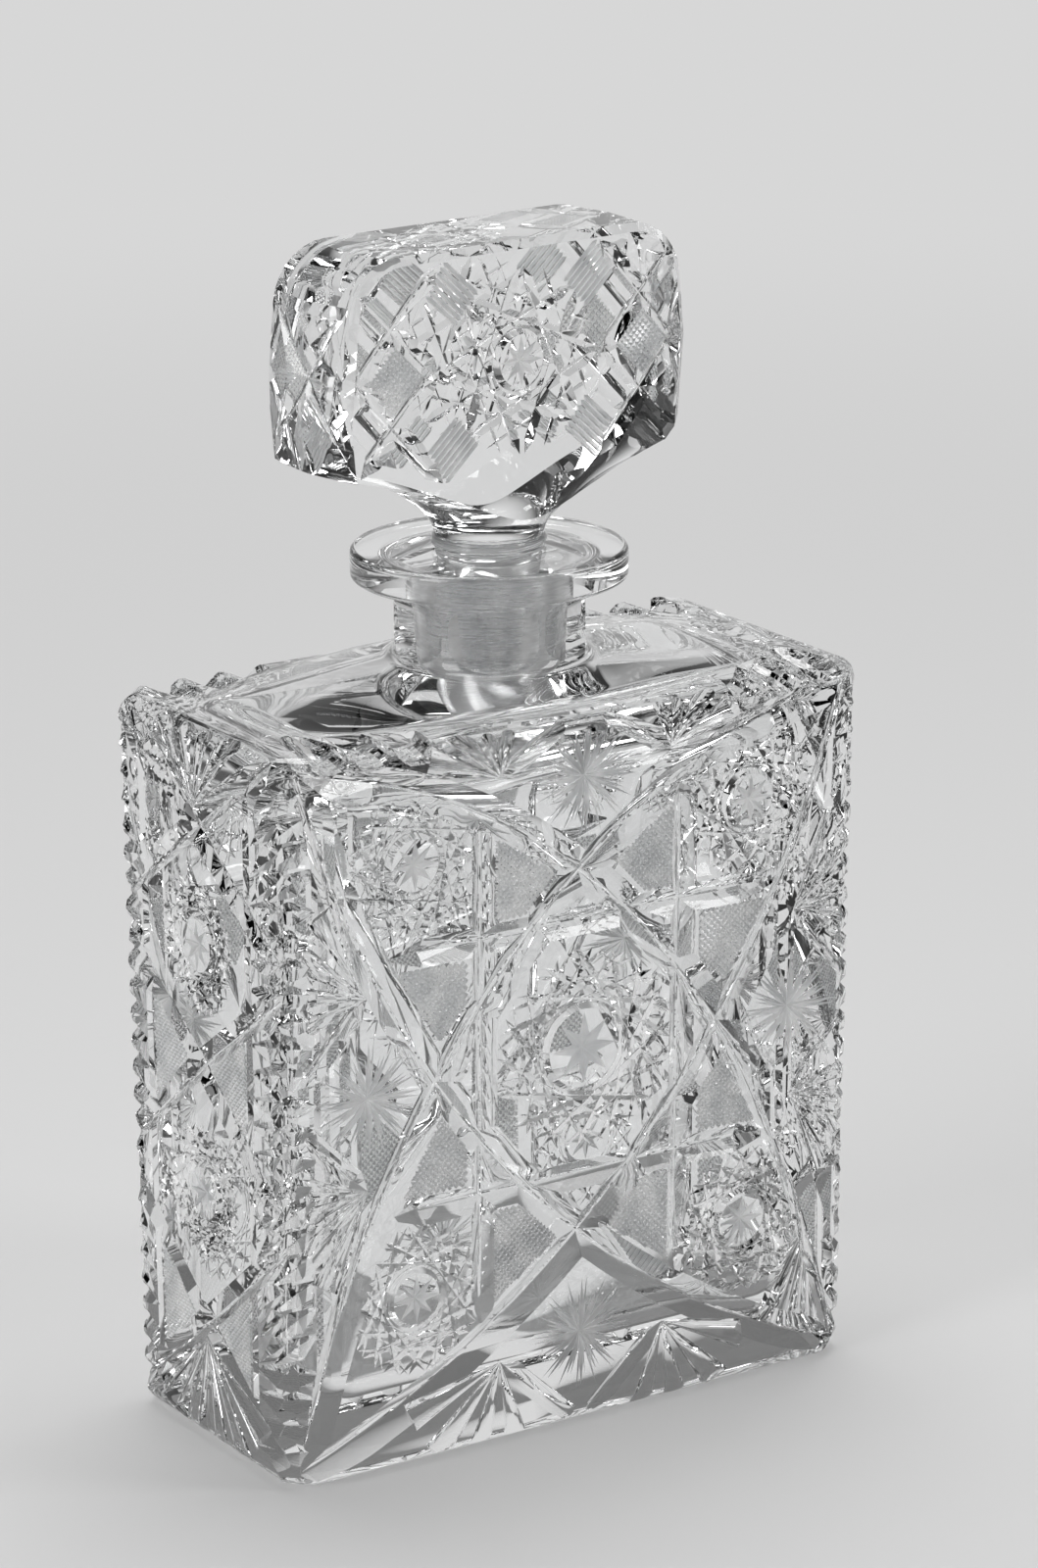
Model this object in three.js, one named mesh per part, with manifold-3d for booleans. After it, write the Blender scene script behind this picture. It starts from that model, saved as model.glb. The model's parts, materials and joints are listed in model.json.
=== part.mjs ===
// A cut glass decanter: a heavy rectangular bottle with a panelled neck and a flat disc lip,
// and a slab stopper whose ground plug lifts out of the ground neck.
// Millimetres, +Z up. The origin is the middle of the flat base; the broad front faces -Y.
import * as THREE from 'three';
import { mergeVertices } from 'three/addons/utils/BufferGeometryUtils.js';
import Module from 'manifold-3d';

const wasm = await Module();
wasm.setup();

// Outer block of the bottle
const BODY_WIDTH = 137;
const BODY_DEPTH = 70;
const BODY_HEIGHT = 150;
const BASE_WIDTH = 135.4;
const BASE_DEPTH = 63.6;
const CORNER_CHAMFER = 6;
const EDGE_ROUND = 5;
const EDGE_STEPS = 3;

// Walls round the hollow
const SIDE_WALL = 11;
const FACE_WALL = 10;
const BASE_THICKNESS = 14;
const SHOULDER_THICKNESS = 8;
const HOLLOW_ROUND = 9;

// Shoulder, neck and lip
const SHOULDER_RISE = 4;
const SHOULDER_INSET = 2.5;
const NECK_HEIGHT = 16;
const NECK_RADIUS = 19;
const NECK_FOOT_ROUND = 3;
const NECK_PANELS = 6;
const PANEL_CUT = 2.2;
const PANEL_GAP = 0.5;
const LIP_RADIUS = 27.6;
const LIP_THICKNESS = 6.2;
const LIP_ROUND = 1.2;

// Ground joint between plug and neck
const PLUG_TOP_RADIUS = 10.6;
const PLUG_LENGTH = 28;
const GROUND_TAPER = 1 / 10;
const GROUND_CLEARANCE = 0.3;
const PLUG_CHAMFER = 1;

// Stopper: the head is a slab whose ends are ground to a low point, so its width is the one at the points
const HEAD_WIDTH = 86;
const HEAD_DEPTH = 27.5;
const HEAD_TOP_ABOVE_LIP = 63;
const HEAD_RIM_ABOVE_LIP = 21.4;
const HEAD_CORNER_ROUND = 12;
const HEAD_EDGE_BEVEL = 1.6;
const HEAD_END_POINT = 2;
const HEAD_END_SLOPE = 2.2;
const HEAD_FOOT_CUT = { width: 9, height: 10.5 };
const HEAD_FOOT_ABOVE_LIP = 20;
const HEAD_STAR_BELOW_TOP = 23.5;
const HEAD_SHIFT = -2;
const HEAD_TURN = 4;
const COLLAR_RADIUS = 11.4;
const COLLAR_HEIGHT = 2.6;
const COLLAR_ROUND = 0.8;
const COLLAR_SEAT_GAP = 0.3;
const STEM_RADIUS = 10.8;

// Cuts: width and depth of each V groove, and of the round hollows of the fans
const ARC_CUT = { width: 7.8, depth: 3 };
const FRAME_CUT = { width: 6, depth: 2.4 };
const KITE_CUT = { width: 4.4, depth: 1.9 };
const DIAGONAL_CUT = { width: 5.4, depth: 2.2 };
const CHORD_CUT = { width: 1.8, depth: 0.8 };
const RAY_CUT = { width: 3, depth: 1 };
const FLUTE_CUT = { width: 6.4, depth: 1.9 };
const NOTCH_CUT = { width: 5, depth: 1.9 };
const NOTCH_PITCH = 5.6;
const NOTCH_REACH = 3.5;
const FLANK_NOTCH = 17;
const CUT_MARGIN = 3;
const FINEST_EDGE = 0.02;

// Segments of the round forms
const ROUND_STEPS = 30;
const ARC_STEPS = 9;
const FILLET_STEPS = 3;
const CORNER_STEPS = 5;
const FLUTE_SIDES = 6;
const SCALLOP_STEPS = [6, 4];

const NECK_FOOT = BODY_HEIGHT + SHOULDER_RISE;
const LIP_BOTTOM = NECK_FOOT + NECK_HEIGHT;
const LIP_TOP = LIP_BOTTOM + LIP_THICKNESS;
const HEAD_TOP = LIP_TOP + HEAD_TOP_ABOVE_LIP;
const HEAD_RIM = LIP_TOP + HEAD_RIM_ABOVE_LIP;
const HEAD_STAR = HEAD_TOP - HEAD_STAR_BELOW_TOP;
const PLUG_BOTTOM = LIP_TOP - PLUG_LENGTH;

// Closed geometry to solid, and solid back to geometry
function solid(geometry) {
  const plain = geometry.index ? geometry.toNonIndexed() : geometry.clone();
  plain.deleteAttribute('normal');
  plain.deleteAttribute('uv');
  const merged = mergeVertices(plain, 1e-4);
  return new wasm.Manifold(new wasm.Mesh({
    numProp: 3,
    vertProperties: new Float32Array(merged.attributes.position.array),
    triVerts: new Uint32Array(merged.index.array),
  }));
}

function geometryOf(shape) {
  const mesh = shape.getMesh();
  const geometry = new THREE.BufferGeometry();
  geometry.setAttribute('position', new THREE.BufferAttribute(mesh.vertProperties, 3));
  geometry.setIndex(new THREE.BufferAttribute(mesh.triVerts, 1));
  return geometry;
}

function joined(shapes) {
  return shapes.reduce((sum, shape) => sum.add(shape));
}

// Grooves that cross leave specks and edges finer than the glass can hold: the piece is the largest body,
// with edges under a fiftieth of a millimetre closed up
function finished(shape) {
  const bodies = shape.simplify(FINEST_EDGE).decompose();
  return bodies.reduce((largest, body) => (body.volume() > largest.volume() ? body : largest));
}

function lathe(points, steps = ROUND_STEPS) {
  const geometry = new THREE.LatheGeometry(points, steps);
  return geometry.rotateX(Math.PI / 2);
}

const point = (x, y) => new THREE.Vector2(x, y);

// Quarter round from one profile point to another, about a centre
function quarter(cx, cy, radius, from, to) {
  const arc = new THREE.EllipseCurve(cx, cy, radius, radius, from, to, to < from);
  return arc.getPoints(FILLET_STEPS);
}

function chamferedRectangle(width, depth, chamfer) {
  const x = width / 2;
  const y = depth / 2;
  const shape = new THREE.Shape();
  shape.moveTo(-x + chamfer, -y);
  shape.lineTo(x - chamfer, -y);
  shape.lineTo(x, -y + chamfer);
  shape.lineTo(x, y - chamfer);
  shape.lineTo(x - chamfer, y);
  shape.lineTo(-x + chamfer, y);
  shape.lineTo(-x, y - chamfer);
  shape.lineTo(-x, -y + chamfer);
  shape.closePath();
  return shape;
}

// Upright block between two heights, with its upper and lower edges rounded
function roundedBlock(shape, bottom, top, round, steps) {
  const geometry = new THREE.ExtrudeGeometry(shape, {
    depth: top - bottom - 2 * round,
    bevelThickness: round,
    bevelSize: round,
    bevelOffset: -round,
    bevelSegments: steps,
  });
  return geometry.translate(0, 0, bottom + round);
}

// The faces draw in from the shoulder to the base
function drawIn(geometry) {
  const position = geometry.attributes.position;
  for (let i = 0; i < position.count; i += 1) {
    const below = Math.max(0, 1 - position.getZ(i) / BODY_HEIGHT);
    position.setX(i, position.getX(i) * (1 - below * (1 - BASE_WIDTH / BODY_WIDTH)));
    position.setY(i, position.getY(i) * (1 - below * (1 - BASE_DEPTH / BODY_DEPTH)));
  }
  return geometry;
}

// A V groove along a path in a face: u across, v up, w out of the glass
function groove(path, cut, steps = 1) {
  const spread = (cut.width / 2) * (1 + CUT_MARGIN / cut.depth);
  const section = new THREE.Shape();
  section.moveTo(cut.depth, 0);
  section.lineTo(-CUT_MARGIN, spread);
  section.lineTo(-CUT_MARGIN, -spread);
  section.closePath();
  return solid(new THREE.ExtrudeGeometry(section, { extrudePath: path, steps, bevelEnabled: false }));
}

function straightGroove(u0, v0, u1, v1, cut) {
  const from = new THREE.Vector3(u0, v0, 0);
  const to = new THREE.Vector3(u1, v1, 0);
  return groove(new THREE.LineCurve3(from, to), cut);
}

// A straight V groove that runs out to a point at both ends
function mitre(u0, v0, u1, v1, cut, tip) {
  const length = Math.hypot(u1 - u0, v1 - v0);
  const spindle = new THREE.LatheGeometry([
    point(0, -length / 2),
    point(1, tip - length / 2),
    point(1, length / 2 - tip),
    point(0, length / 2),
  ], 4);
  spindle.scale(cut.width / 2, 1, cut.depth);
  spindle.rotateZ(Math.atan2(v1 - v0, u1 - u0) - Math.PI / 2);
  return solid(spindle.translate((u0 + u1) / 2, (v0 + v1) / 2, 0));
}

// A leaf, the cut of a wheel that plunges and lifts again, with its long axis turned by an angle
function leaf(u, v, length, cut, angle) {
  const geometry = new THREE.OctahedronGeometry(1);
  geometry.scale(length / 2, cut.width / 2, cut.depth);
  geometry.rotateZ(angle);
  return solid(geometry.translate(u, v, 0));
}

// Star of leaves through one centre
function leafStar(u, v, radius, rays, cut) {
  const leaves = [];
  for (let i = 0; i < rays / 2; i += 1) {
    leaves.push(leaf(u, v, 2 * radius, cut, (i * 2 * Math.PI) / rays));
  }
  return leaves;
}

// Fan of round hollows that widen from an apex and dip into the glass towards their far ends
function fan(u, v, { length, count, spread, dip }, heading) {
  const flute = new THREE.ConeGeometry(1, length, FLUTE_SIDES);
  flute.translate(0, -length / 2, 0).rotateZ(Math.PI);
  flute.scale(FLUTE_CUT.width / 2, 1, FLUTE_CUT.depth);
  flute.rotateX(-dip);
  const flutes = [];
  for (let i = 0; i < count; i += 1) {
    const angle = heading + spread * (i / (count - 1) - 0.5);
    const turned = flute.clone().rotateZ(angle - Math.PI / 2);
    flutes.push(solid(turned.translate(u, v, 0)));
  }
  return flutes;
}

// Hobstar: chords that touch one circle leave a raised button in the middle
function hobstar(u, v, { sides, button, reach }) {
  const half = Math.sqrt(reach ** 2 - button ** 2);
  const chords = [];
  for (let i = 0; i < sides; i += 1) {
    const out = new THREE.Vector2(button, 0).rotateAround(point(0, 0), ((i + 0.5) * 2 * Math.PI) / sides);
    const along = point(-out.y, out.x).setLength(half);
    chords.push(mitre(
      u + out.x - along.x,
      v + out.y - along.y,
      u + out.x + along.x,
      v + out.y + along.y,
      CHORD_CUT,
      CHORD_CUT.width,
    ));
  }
  return chords;
}

// Broad face of the bottle: places are shares of the half width and of the height
const BROAD = {
  topArc: [[-0.934, 0.98], [-0.03, 0.913], [0.672, 0.553], [0.949, 0.023]],
  lowArc: [[-0.934, 0.98], [-0.672, 0.524], [0.03, 0.167], [0.949, 0.023]],
  middle: 0.539,
  frame: { u: 0.342, v: 0.178 },
  frameReach: { u: 0.679, v: 0.38 },
  cornerStar: { u: 0.574, v: 0.299 },
  edgeStar: { u: 0.73, low: 0.133, high: 0.913 },
  topKite: { u: 0.289, v: 0.932, peak: 1.013 },
  lowKite: { u: 0.27, v: 0.115, peak: 0 },
  sideKite: { u: 0.736, v: 0.132, peak: 1.015 },
};
const CORNER_STAR = { sides: 8, button: 7.2, reach: 16 };
const MIDDLE_STAR = { sides: 8, button: 10, reach: 21 };
const EDGE_STAR_RADIUS = 10;
const STAR_RAYS = 8;
const FRAME_TIP = 9;
const KITE_TIP = 4;
const TOP_FAN = { length: 17, count: 4, spread: 1.47, dip: 0.08, lean: 0.49 };
const LOW_FAN = { length: 22, count: 4, spread: 1.47, dip: 0.06, lean: 0.49 };
const SCALLOP = { count: 4, pitch: 9, length: 16, depth: 2.9, start: 9, slant: 0.4 };
const SIDE_FAN = { length: 21, count: 4, spread: 1.31, dip: 0, lean: 0.42 };

function arcGroove(side, shares) {
  const controls = shares.map(([u, v]) => new THREE.Vector3((side * u * BODY_WIDTH) / 2, v * BODY_HEIGHT, 0));
  return groove(new THREE.CubicBezierCurve3(...controls), ARC_CUT, ARC_STEPS);
}

// One quarter of the broad face: a hobstar in its corner, and a fan that opens sideways
function quarterCuts(side, up) {
  const half = BODY_WIDTH / 2;
  const middle = BODY_HEIGHT * BROAD.middle;
  const star = BROAD.cornerStar;
  const kite = BROAD.sideKite;
  const u = side * half * kite.u;
  const v = middle + up * BODY_HEIGHT * kite.v;
  const outwards = side > 0 ? 0 : Math.PI;
  return [
    ...hobstar(side * half * star.u, middle + up * BODY_HEIGHT * star.v, CORNER_STAR),
    mitre(u, v, side * half * kite.peak, middle, KITE_CUT, KITE_TIP),
    ...fan(u, v, SIDE_FAN, outwards + side * up * SIDE_FAN.lean),
  ];
}

// One half of the broad face: arcs, an upright and a level of the frame, kites round the frosted stars
function halfCuts(side) {
  const half = BODY_WIDTH / 2;
  const middle = BODY_HEIGHT * BROAD.middle;
  const upright = side * half * BROAD.frame.u;
  const level = middle + side * BODY_HEIGHT * BROAD.frame.v;
  const reachU = half * BROAD.frameReach.u;
  const reachV = BODY_HEIGHT * BROAD.frameReach.v;
  const { topKite, lowKite, edgeStar } = BROAD;
  const topV = BODY_HEIGHT * topKite.v;
  const lowV = BODY_HEIGHT * lowKite.v;
  const topU = side * half * topKite.u;
  const lowU = side * half * lowKite.u;
  return [
    arcGroove(side, BROAD.topArc),
    arcGroove(side, BROAD.lowArc),
    mitre(upright, middle - reachV, upright, middle + reachV, FRAME_CUT, FRAME_TIP),
    mitre(-reachU, level, reachU, level, FRAME_CUT, FRAME_TIP),
    mitre(topU, topV, 0, BODY_HEIGHT * topKite.peak, KITE_CUT, KITE_TIP),
    mitre(lowU, lowV, 0, BODY_HEIGHT * lowKite.peak, KITE_CUT, KITE_TIP),
    ...fan(topU, topV, TOP_FAN, Math.PI / 2 - side * TOP_FAN.lean),
    ...fan(lowU, lowV, LOW_FAN, side * LOW_FAN.lean - Math.PI / 2),
    ...leafStar(side * half * edgeStar.u, middle, EDGE_STAR_RADIUS, STAR_RAYS, RAY_CUT),
    ...quarterCuts(side, 1),
    ...quarterCuts(side, -1),
  ];
}

// Round hollows ground slantwise across the rolled top edge, near both its ends
function edgeScallops() {
  const { count, pitch, length, depth, start, slant } = SCALLOP;
  const onRoll = EDGE_ROUND * (1 - Math.SQRT1_2);
  const hollows = [];
  for (const side of [-1, 1]) {
    for (let i = 0; i < count; i += 1) {
      const hollow = new THREE.SphereGeometry(1, ...SCALLOP_STEPS);
      hollow.scale(pitch / 2, length / 2, depth);
      hollow.rotateZ(side * slant).rotateX(-Math.PI / 4);
      const u = side * (BODY_WIDTH / 2 - start - i * pitch);
      hollows.push(solid(hollow.translate(u, BODY_HEIGHT - onRoll, -onRoll)));
    }
  }
  return hollows;
}

function broadFaceCuts() {
  const { low, high } = BROAD.edgeStar;
  return joined([
    ...halfCuts(1),
    ...halfCuts(-1),
    ...edgeScallops(),
    ...leafStar(0, high * BODY_HEIGHT, EDGE_STAR_RADIUS, STAR_RAYS, RAY_CUT),
    ...leafStar(0, low * BODY_HEIGHT, EDGE_STAR_RADIUS, STAR_RAYS, RAY_CUT),
    ...hobstar(0, BROAD.middle * BODY_HEIGHT, MIDDLE_STAR),
  ]);
}

// Narrow side of the bottle: heights are shares of the height
const NARROW = { foot: 0.013, crossings: [0.18, 0.54, 0.867], top: 1.033, stars: [0.36, 0.703] };
const NARROW_STAR = { sides: 8, button: 7.2, reach: 14.5 };
const NARROW_TOP_FAN = { share: 0.893, length: 21, count: 6, spread: 2.27, dip: 0.07 };
const NARROW_LOW_FAN = { share: 0.153, length: 26, count: 6, spread: 1.92, dip: 0.05 };

function narrowFaceCuts() {
  const half = BODY_DEPTH / 2;
  const heights = [NARROW.foot, ...NARROW.crossings, NARROW.top].map((share) => share * BODY_HEIGHT);
  const cuts = [];
  for (const side of [-1, 1]) {
    for (let i = 1; i < heights.length - 1; i += 1) {
      const below = i > 1 ? (heights[i - 1] + heights[i]) / 2 : heights[0];
      const above = i < heights.length - 2 ? (heights[i] + heights[i + 1]) / 2 : heights[i + 1];
      cuts.push(straightGroove(-side * half, below, 0, heights[i], DIAGONAL_CUT));
      cuts.push(straightGroove(0, heights[i], side * half, above, DIAGONAL_CUT));
    }
  }
  for (const share of NARROW.stars) {
    cuts.push(...hobstar(0, share * BODY_HEIGHT, NARROW_STAR));
  }
  cuts.push(...fan(0, NARROW_TOP_FAN.share * BODY_HEIGHT, NARROW_TOP_FAN, Math.PI / 2));
  cuts.push(...fan(0, NARROW_LOW_FAN.share * BODY_HEIGHT, NARROW_LOW_FAN, -Math.PI / 2));
  return joined(cuts);
}

// Ladder of notches up one edge, laid flat
function notchLadder(u, length) {
  const count = Math.floor((BODY_HEIGHT - 2 * EDGE_ROUND) / NOTCH_PITCH);
  const first = (BODY_HEIGHT - (count - 1) * NOTCH_PITCH) / 2;
  const notches = [];
  for (let i = 0; i < count; i += 1) {
    notches.push(leaf(u, first + i * NOTCH_PITCH, length, NOTCH_CUT, 0));
  }
  return joined(notches);
}

// Turns a flat set of cuts upright and onto the face whose outward side is at an angle from -Y
function onFace(cuts, distance, angle) {
  const place = new THREE.Matrix4().makeRotationZ(angle);
  place.multiply(new THREE.Matrix4().makeTranslation(0, -distance, 0));
  place.multiply(new THREE.Matrix4().makeRotationX(Math.PI / 2));
  return cuts.transform(place.elements);
}

function bodyCuts() {
  const broad = broadFaceCuts();
  const narrow = narrowFaceCuts();
  const notches = notchLadder(0, CORNER_CHAMFER * Math.SQRT2 + 2 * NOTCH_REACH);
  const flankU = BODY_DEPTH / 2 - CORNER_CHAMFER;
  const flank = joined([notchLadder(-flankU, FLANK_NOTCH), notchLadder(flankU, FLANK_NOTCH)]);
  const cuts = [];
  for (const turn of [0, Math.PI]) {
    cuts.push(onFace(broad, BODY_DEPTH / 2, turn));
    cuts.push(onFace(narrow, BODY_WIDTH / 2, turn + Math.PI / 2));
    cuts.push(onFace(flank, BODY_WIDTH / 2, turn + Math.PI / 2));
  }
  const cornerX = BODY_WIDTH / 2 - CORNER_CHAMFER / 2;
  const cornerY = BODY_DEPTH / 2 - CORNER_CHAMFER / 2;
  for (const sideX of [-1, 1]) {
    for (const sideY of [-1, 1]) {
      const angle = Math.atan2(sideX, -sideY);
      const upright = onFace(notches, 0, angle);
      cuts.push(upright.translate([sideX * cornerX, sideY * cornerY, 0]));
    }
  }
  return joined(cuts);
}

// Low rise of the shoulder: round at the neck, and drawn out to an oval that fits the block at its foot
function shoulderRise() {
  const foot = NECK_RADIUS + NECK_FOOT_ROUND;
  const rim = BODY_DEPTH / 2 - SHOULDER_INSET;
  const bottom = BODY_HEIGHT - EDGE_ROUND;
  const rise = new THREE.CubicBezierCurve(
    point(rim, BODY_HEIGHT),
    point(rim - (rim - foot) / 3, BODY_HEIGHT),
    point(foot + (rim - foot) / 3, NECK_FOOT - SHOULDER_RISE / 4),
    point(foot, NECK_FOOT),
  ).getPoints(FILLET_STEPS);
  const geometry = lathe([point(0, bottom), point(rim, bottom), ...rise, point(0, NECK_FOOT)]);
  const stretch = (BODY_WIDTH / 2 - EDGE_ROUND) / rim;
  const position = geometry.attributes.position;
  for (let i = 0; i < position.count; i += 1) {
    const share = Math.min(1, (NECK_FOOT - position.getZ(i)) / SHOULDER_RISE);
    position.setX(i, position.getX(i) * (1 + share * (stretch - 1)));
  }
  return geometry;
}

function neckAndLip() {
  const fillet = NECK_FOOT_ROUND;
  const edge = LIP_RADIUS - LIP_ROUND;
  const profile = [
    point(0, BODY_HEIGHT - EDGE_ROUND),
    point(NECK_RADIUS + fillet, BODY_HEIGHT - EDGE_ROUND),
    ...quarter(NECK_RADIUS + fillet, NECK_FOOT + fillet, fillet, -Math.PI / 2, -Math.PI),
    ...quarter(NECK_RADIUS + fillet, LIP_BOTTOM - fillet, fillet, Math.PI, Math.PI / 2),
    ...quarter(edge, LIP_BOTTOM + LIP_ROUND, LIP_ROUND, -Math.PI / 2, 0),
    ...quarter(edge, LIP_TOP - LIP_ROUND, LIP_ROUND, 0, Math.PI / 2),
    point(0, LIP_TOP),
  ];
  return lathe(profile);
}

// Panels ground flat round the neck, each running out in a scallop below and above
function neckPanels() {
  const run = NECK_FOOT_ROUND + PANEL_CUT;
  const low = NECK_FOOT + PANEL_GAP;
  const high = LIP_BOTTOM - PANEL_GAP;
  const flat = NECK_RADIUS - PANEL_CUT;
  const far = LIP_RADIUS;
  const outline = new THREE.Shape();
  outline.moveTo(far, low);
  outline.lineTo(flat + run, low);
  outline.quadraticCurveTo(flat, low, flat, low + run);
  outline.lineTo(flat, high - run);
  outline.quadraticCurveTo(flat, high, flat + run, high);
  outline.lineTo(far, high);
  outline.closePath();
  const across = 2 * NECK_RADIUS;
  const geometry = new THREE.ExtrudeGeometry(outline, {
    depth: across,
    bevelEnabled: false,
    curveSegments: FILLET_STEPS,
  });
  geometry.translate(0, 0, -across / 2).rotateX(Math.PI / 2);
  const panel = solid(geometry);
  const panels = [];
  for (let i = 0; i < NECK_PANELS; i += 1) {
    panels.push(panel.rotate([0, 0, ((i + 0.5) * 360) / NECK_PANELS + 90]));
  }
  return joined(panels);
}

// Radius of the ground plug at a height
function plugRadius(height) {
  return PLUG_TOP_RADIUS - (LIP_TOP - height) * (GROUND_TAPER / 2);
}

// Hollow of the bottle with the ground bore that opens it at the lip
function hollow() {
  const width = BODY_WIDTH - 2 * SIDE_WALL;
  const depth = BODY_DEPTH - 2 * FACE_WALL;
  const top = BODY_HEIGHT - SHOULDER_THICKNESS;
  const plan = chamferedRectangle(width, depth, HOLLOW_ROUND);
  const room = roundedBlock(plan, BASE_THICKNESS, top, HOLLOW_ROUND, EDGE_STEPS);
  const above = LIP_TOP + 1;
  const below = top - HOLLOW_ROUND;
  const bore = lathe([
    point(0, below),
    point(plugRadius(below) + GROUND_CLEARANCE, below),
    point(plugRadius(above) + GROUND_CLEARANCE, above),
    point(0, above),
  ]);
  return { room: solid(room), bore: solid(bore) };
}

function decanterBody() {
  const block = roundedBlock(
    chamferedRectangle(BODY_WIDTH, BODY_DEPTH, CORNER_CHAMFER),
    0,
    BODY_HEIGHT,
    EDGE_ROUND,
    EDGE_STEPS,
  );
  const { room, bore } = hollow();
  const lower = solid(block).subtract(bodyCuts()).add(solid(shoulderRise())).subtract(room);
  const drawn = solid(drawIn(geometryOf(lower)));
  const upper = solid(neckAndLip()).subtract(neckPanels());
  return drawn.add(upper).subtract(bore);
}

// Stopper: a slab head on a flared foot, a round collar and the ground plug below it
function headOutline() {
  const bevel = HEAD_EDGE_BEVEL;
  const x = HEAD_WIDTH / 2 - bevel;
  const edge = x - HEAD_END_SLOPE;
  const high = HEAD_TOP - bevel;
  const round = HEAD_CORNER_ROUND;
  const foot = LIP_TOP + HEAD_FOOT_ABOVE_LIP;
  const cut = HEAD_FOOT_CUT;
  const outline = new THREE.Shape();
  outline.moveTo(-edge, LIP_TOP);
  outline.lineTo(x - cut.width, LIP_TOP);
  outline.lineTo(x - cut.width, foot);
  outline.quadraticCurveTo(x - HEAD_END_POINT, foot + cut.height / 3, x, foot + cut.height);
  outline.lineTo(x, HEAD_STAR);
  outline.lineTo(edge, high - round);
  outline.quadraticCurveTo(edge, high, edge - round, high);
  outline.lineTo(-edge + round, high);
  outline.quadraticCurveTo(-edge, high, -edge, high - round);
  outline.lineTo(-x, HEAD_STAR);
  outline.closePath();
  return outline;
}

function headSlab() {
  const geometry = new THREE.ExtrudeGeometry(headOutline(), {
    depth: HEAD_DEPTH - 2 * HEAD_EDGE_BEVEL,
    bevelThickness: HEAD_EDGE_BEVEL,
    bevelSize: HEAD_EDGE_BEVEL,
    bevelSegments: 1,
    curveSegments: CORNER_STEPS,
  });
  geometry.translate(0, 0, HEAD_EDGE_BEVEL - HEAD_DEPTH / 2);
  return geometry.rotateX(Math.PI / 2);
}

// Plan of the head: each end is ground to a low ridge
function headPlan() {
  const x = HEAD_WIDTH / 2;
  const y = HEAD_DEPTH / 2;
  const shape = new THREE.Shape();
  shape.moveTo(-x + HEAD_END_POINT, -y);
  shape.lineTo(x - HEAD_END_POINT, -y);
  shape.lineTo(x, 0);
  shape.lineTo(x - HEAD_END_POINT, y);
  shape.lineTo(-x + HEAD_END_POINT, y);
  shape.lineTo(-x, 0);
  shape.closePath();
  const height = HEAD_TOP - LIP_TOP;
  return new THREE.ExtrudeGeometry(shape, { depth: height, bevelEnabled: false }).translate(0, 0, LIP_TOP);
}

function headFlare() {
  const start = LIP_TOP + COLLAR_HEIGHT;
  const rise = HEAD_RIM - start;
  const reach = Math.hypot(HEAD_WIDTH, HEAD_DEPTH) / 2;
  const curve = new THREE.CubicBezierCurve(
    point(STEM_RADIUS, start),
    point(STEM_RADIUS + 1, start + rise / 3),
    point(reach / 2, HEAD_RIM - rise / 4),
    point(reach, HEAD_RIM),
  );
  return lathe([
    point(0, start),
    ...curve.getPoints(2 * FILLET_STEPS),
    point(reach, HEAD_TOP),
    point(0, HEAD_TOP),
  ]);
}

// Broad face of the head: places from its star, in shares of the half width and of the head's height
const HEAD_LATTICE = {
  outer: [[0.44, 0.52], [0.92, -0.02]],
  inner: [[0.9, 0.42], [0.45, -0.02]],
};
const HEAD_HOBSTAR = { sides: 8, button: 7.2, reach: 18 };
const HEAD_END_STAR = 10;

function headCuts() {
  const half = HEAD_WIDTH / 2;
  const height = HEAD_TOP - HEAD_RIM;
  const cuts = [];
  for (const side of [-1, 1]) {
    for (const up of [-1, 1]) {
      for (const [[u0, v0], [u1, v1]] of Object.values(HEAD_LATTICE)) {
        const high = HEAD_STAR + up * height * v0;
        const low = HEAD_STAR + up * height * v1;
        cuts.push(mitre(side * half * u0, high, side * half * u1, low, KITE_CUT, KITE_TIP));
      }
    }
  }
  cuts.push(...hobstar(0, HEAD_STAR, HEAD_HOBSTAR));
  return joined(cuts);
}

function headEndCuts() {
  const half = HEAD_DEPTH / 2;
  const rise = HEAD_TOP - HEAD_STAR - HEAD_CORNER_ROUND / 2;
  return joined([
    mitre(-half, HEAD_STAR - rise, half, HEAD_STAR + rise, KITE_CUT, KITE_TIP),
    mitre(half, HEAD_STAR - rise, -half, HEAD_STAR + rise, KITE_CUT, KITE_TIP),
    ...leafStar(0, HEAD_STAR, HEAD_END_STAR, STAR_RAYS, RAY_CUT),
  ]);
}

function collarAndPlug() {
  const seat = LIP_TOP + COLLAR_SEAT_GAP;
  const top = LIP_TOP + COLLAR_HEIGHT;
  const edge = COLLAR_RADIUS - COLLAR_ROUND;
  const bottomRadius = plugRadius(PLUG_BOTTOM);
  return lathe([
    point(0, PLUG_BOTTOM),
    point(bottomRadius - PLUG_CHAMFER, PLUG_BOTTOM),
    point(bottomRadius, PLUG_BOTTOM + PLUG_CHAMFER),
    point(plugRadius(seat), seat),
    point(edge, seat),
    point(COLLAR_RADIUS, seat + COLLAR_ROUND),
    point(COLLAR_RADIUS, top - COLLAR_ROUND),
    point(edge, top),
    point(STEM_RADIUS - COLLAR_ROUND, top + COLLAR_ROUND),
    point(0, top + COLLAR_ROUND),
  ]);
}

function stopperSolid() {
  const faceCuts = headCuts();
  const endCuts = headEndCuts();
  let head = solid(headSlab()).intersect(solid(headPlan()));
  for (const turn of [0, Math.PI]) {
    head = head.subtract(onFace(faceCuts, HEAD_DEPTH / 2, turn));
    head = head.subtract(onFace(endCuts, HEAD_WIDTH / 2, turn + Math.PI / 2));
  }
  const seated = head.translate([HEAD_SHIFT, 0, 0]).intersect(solid(headFlare()));
  return seated.add(solid(collarAndPlug())).rotate([0, 0, HEAD_TURN]);
}

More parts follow.
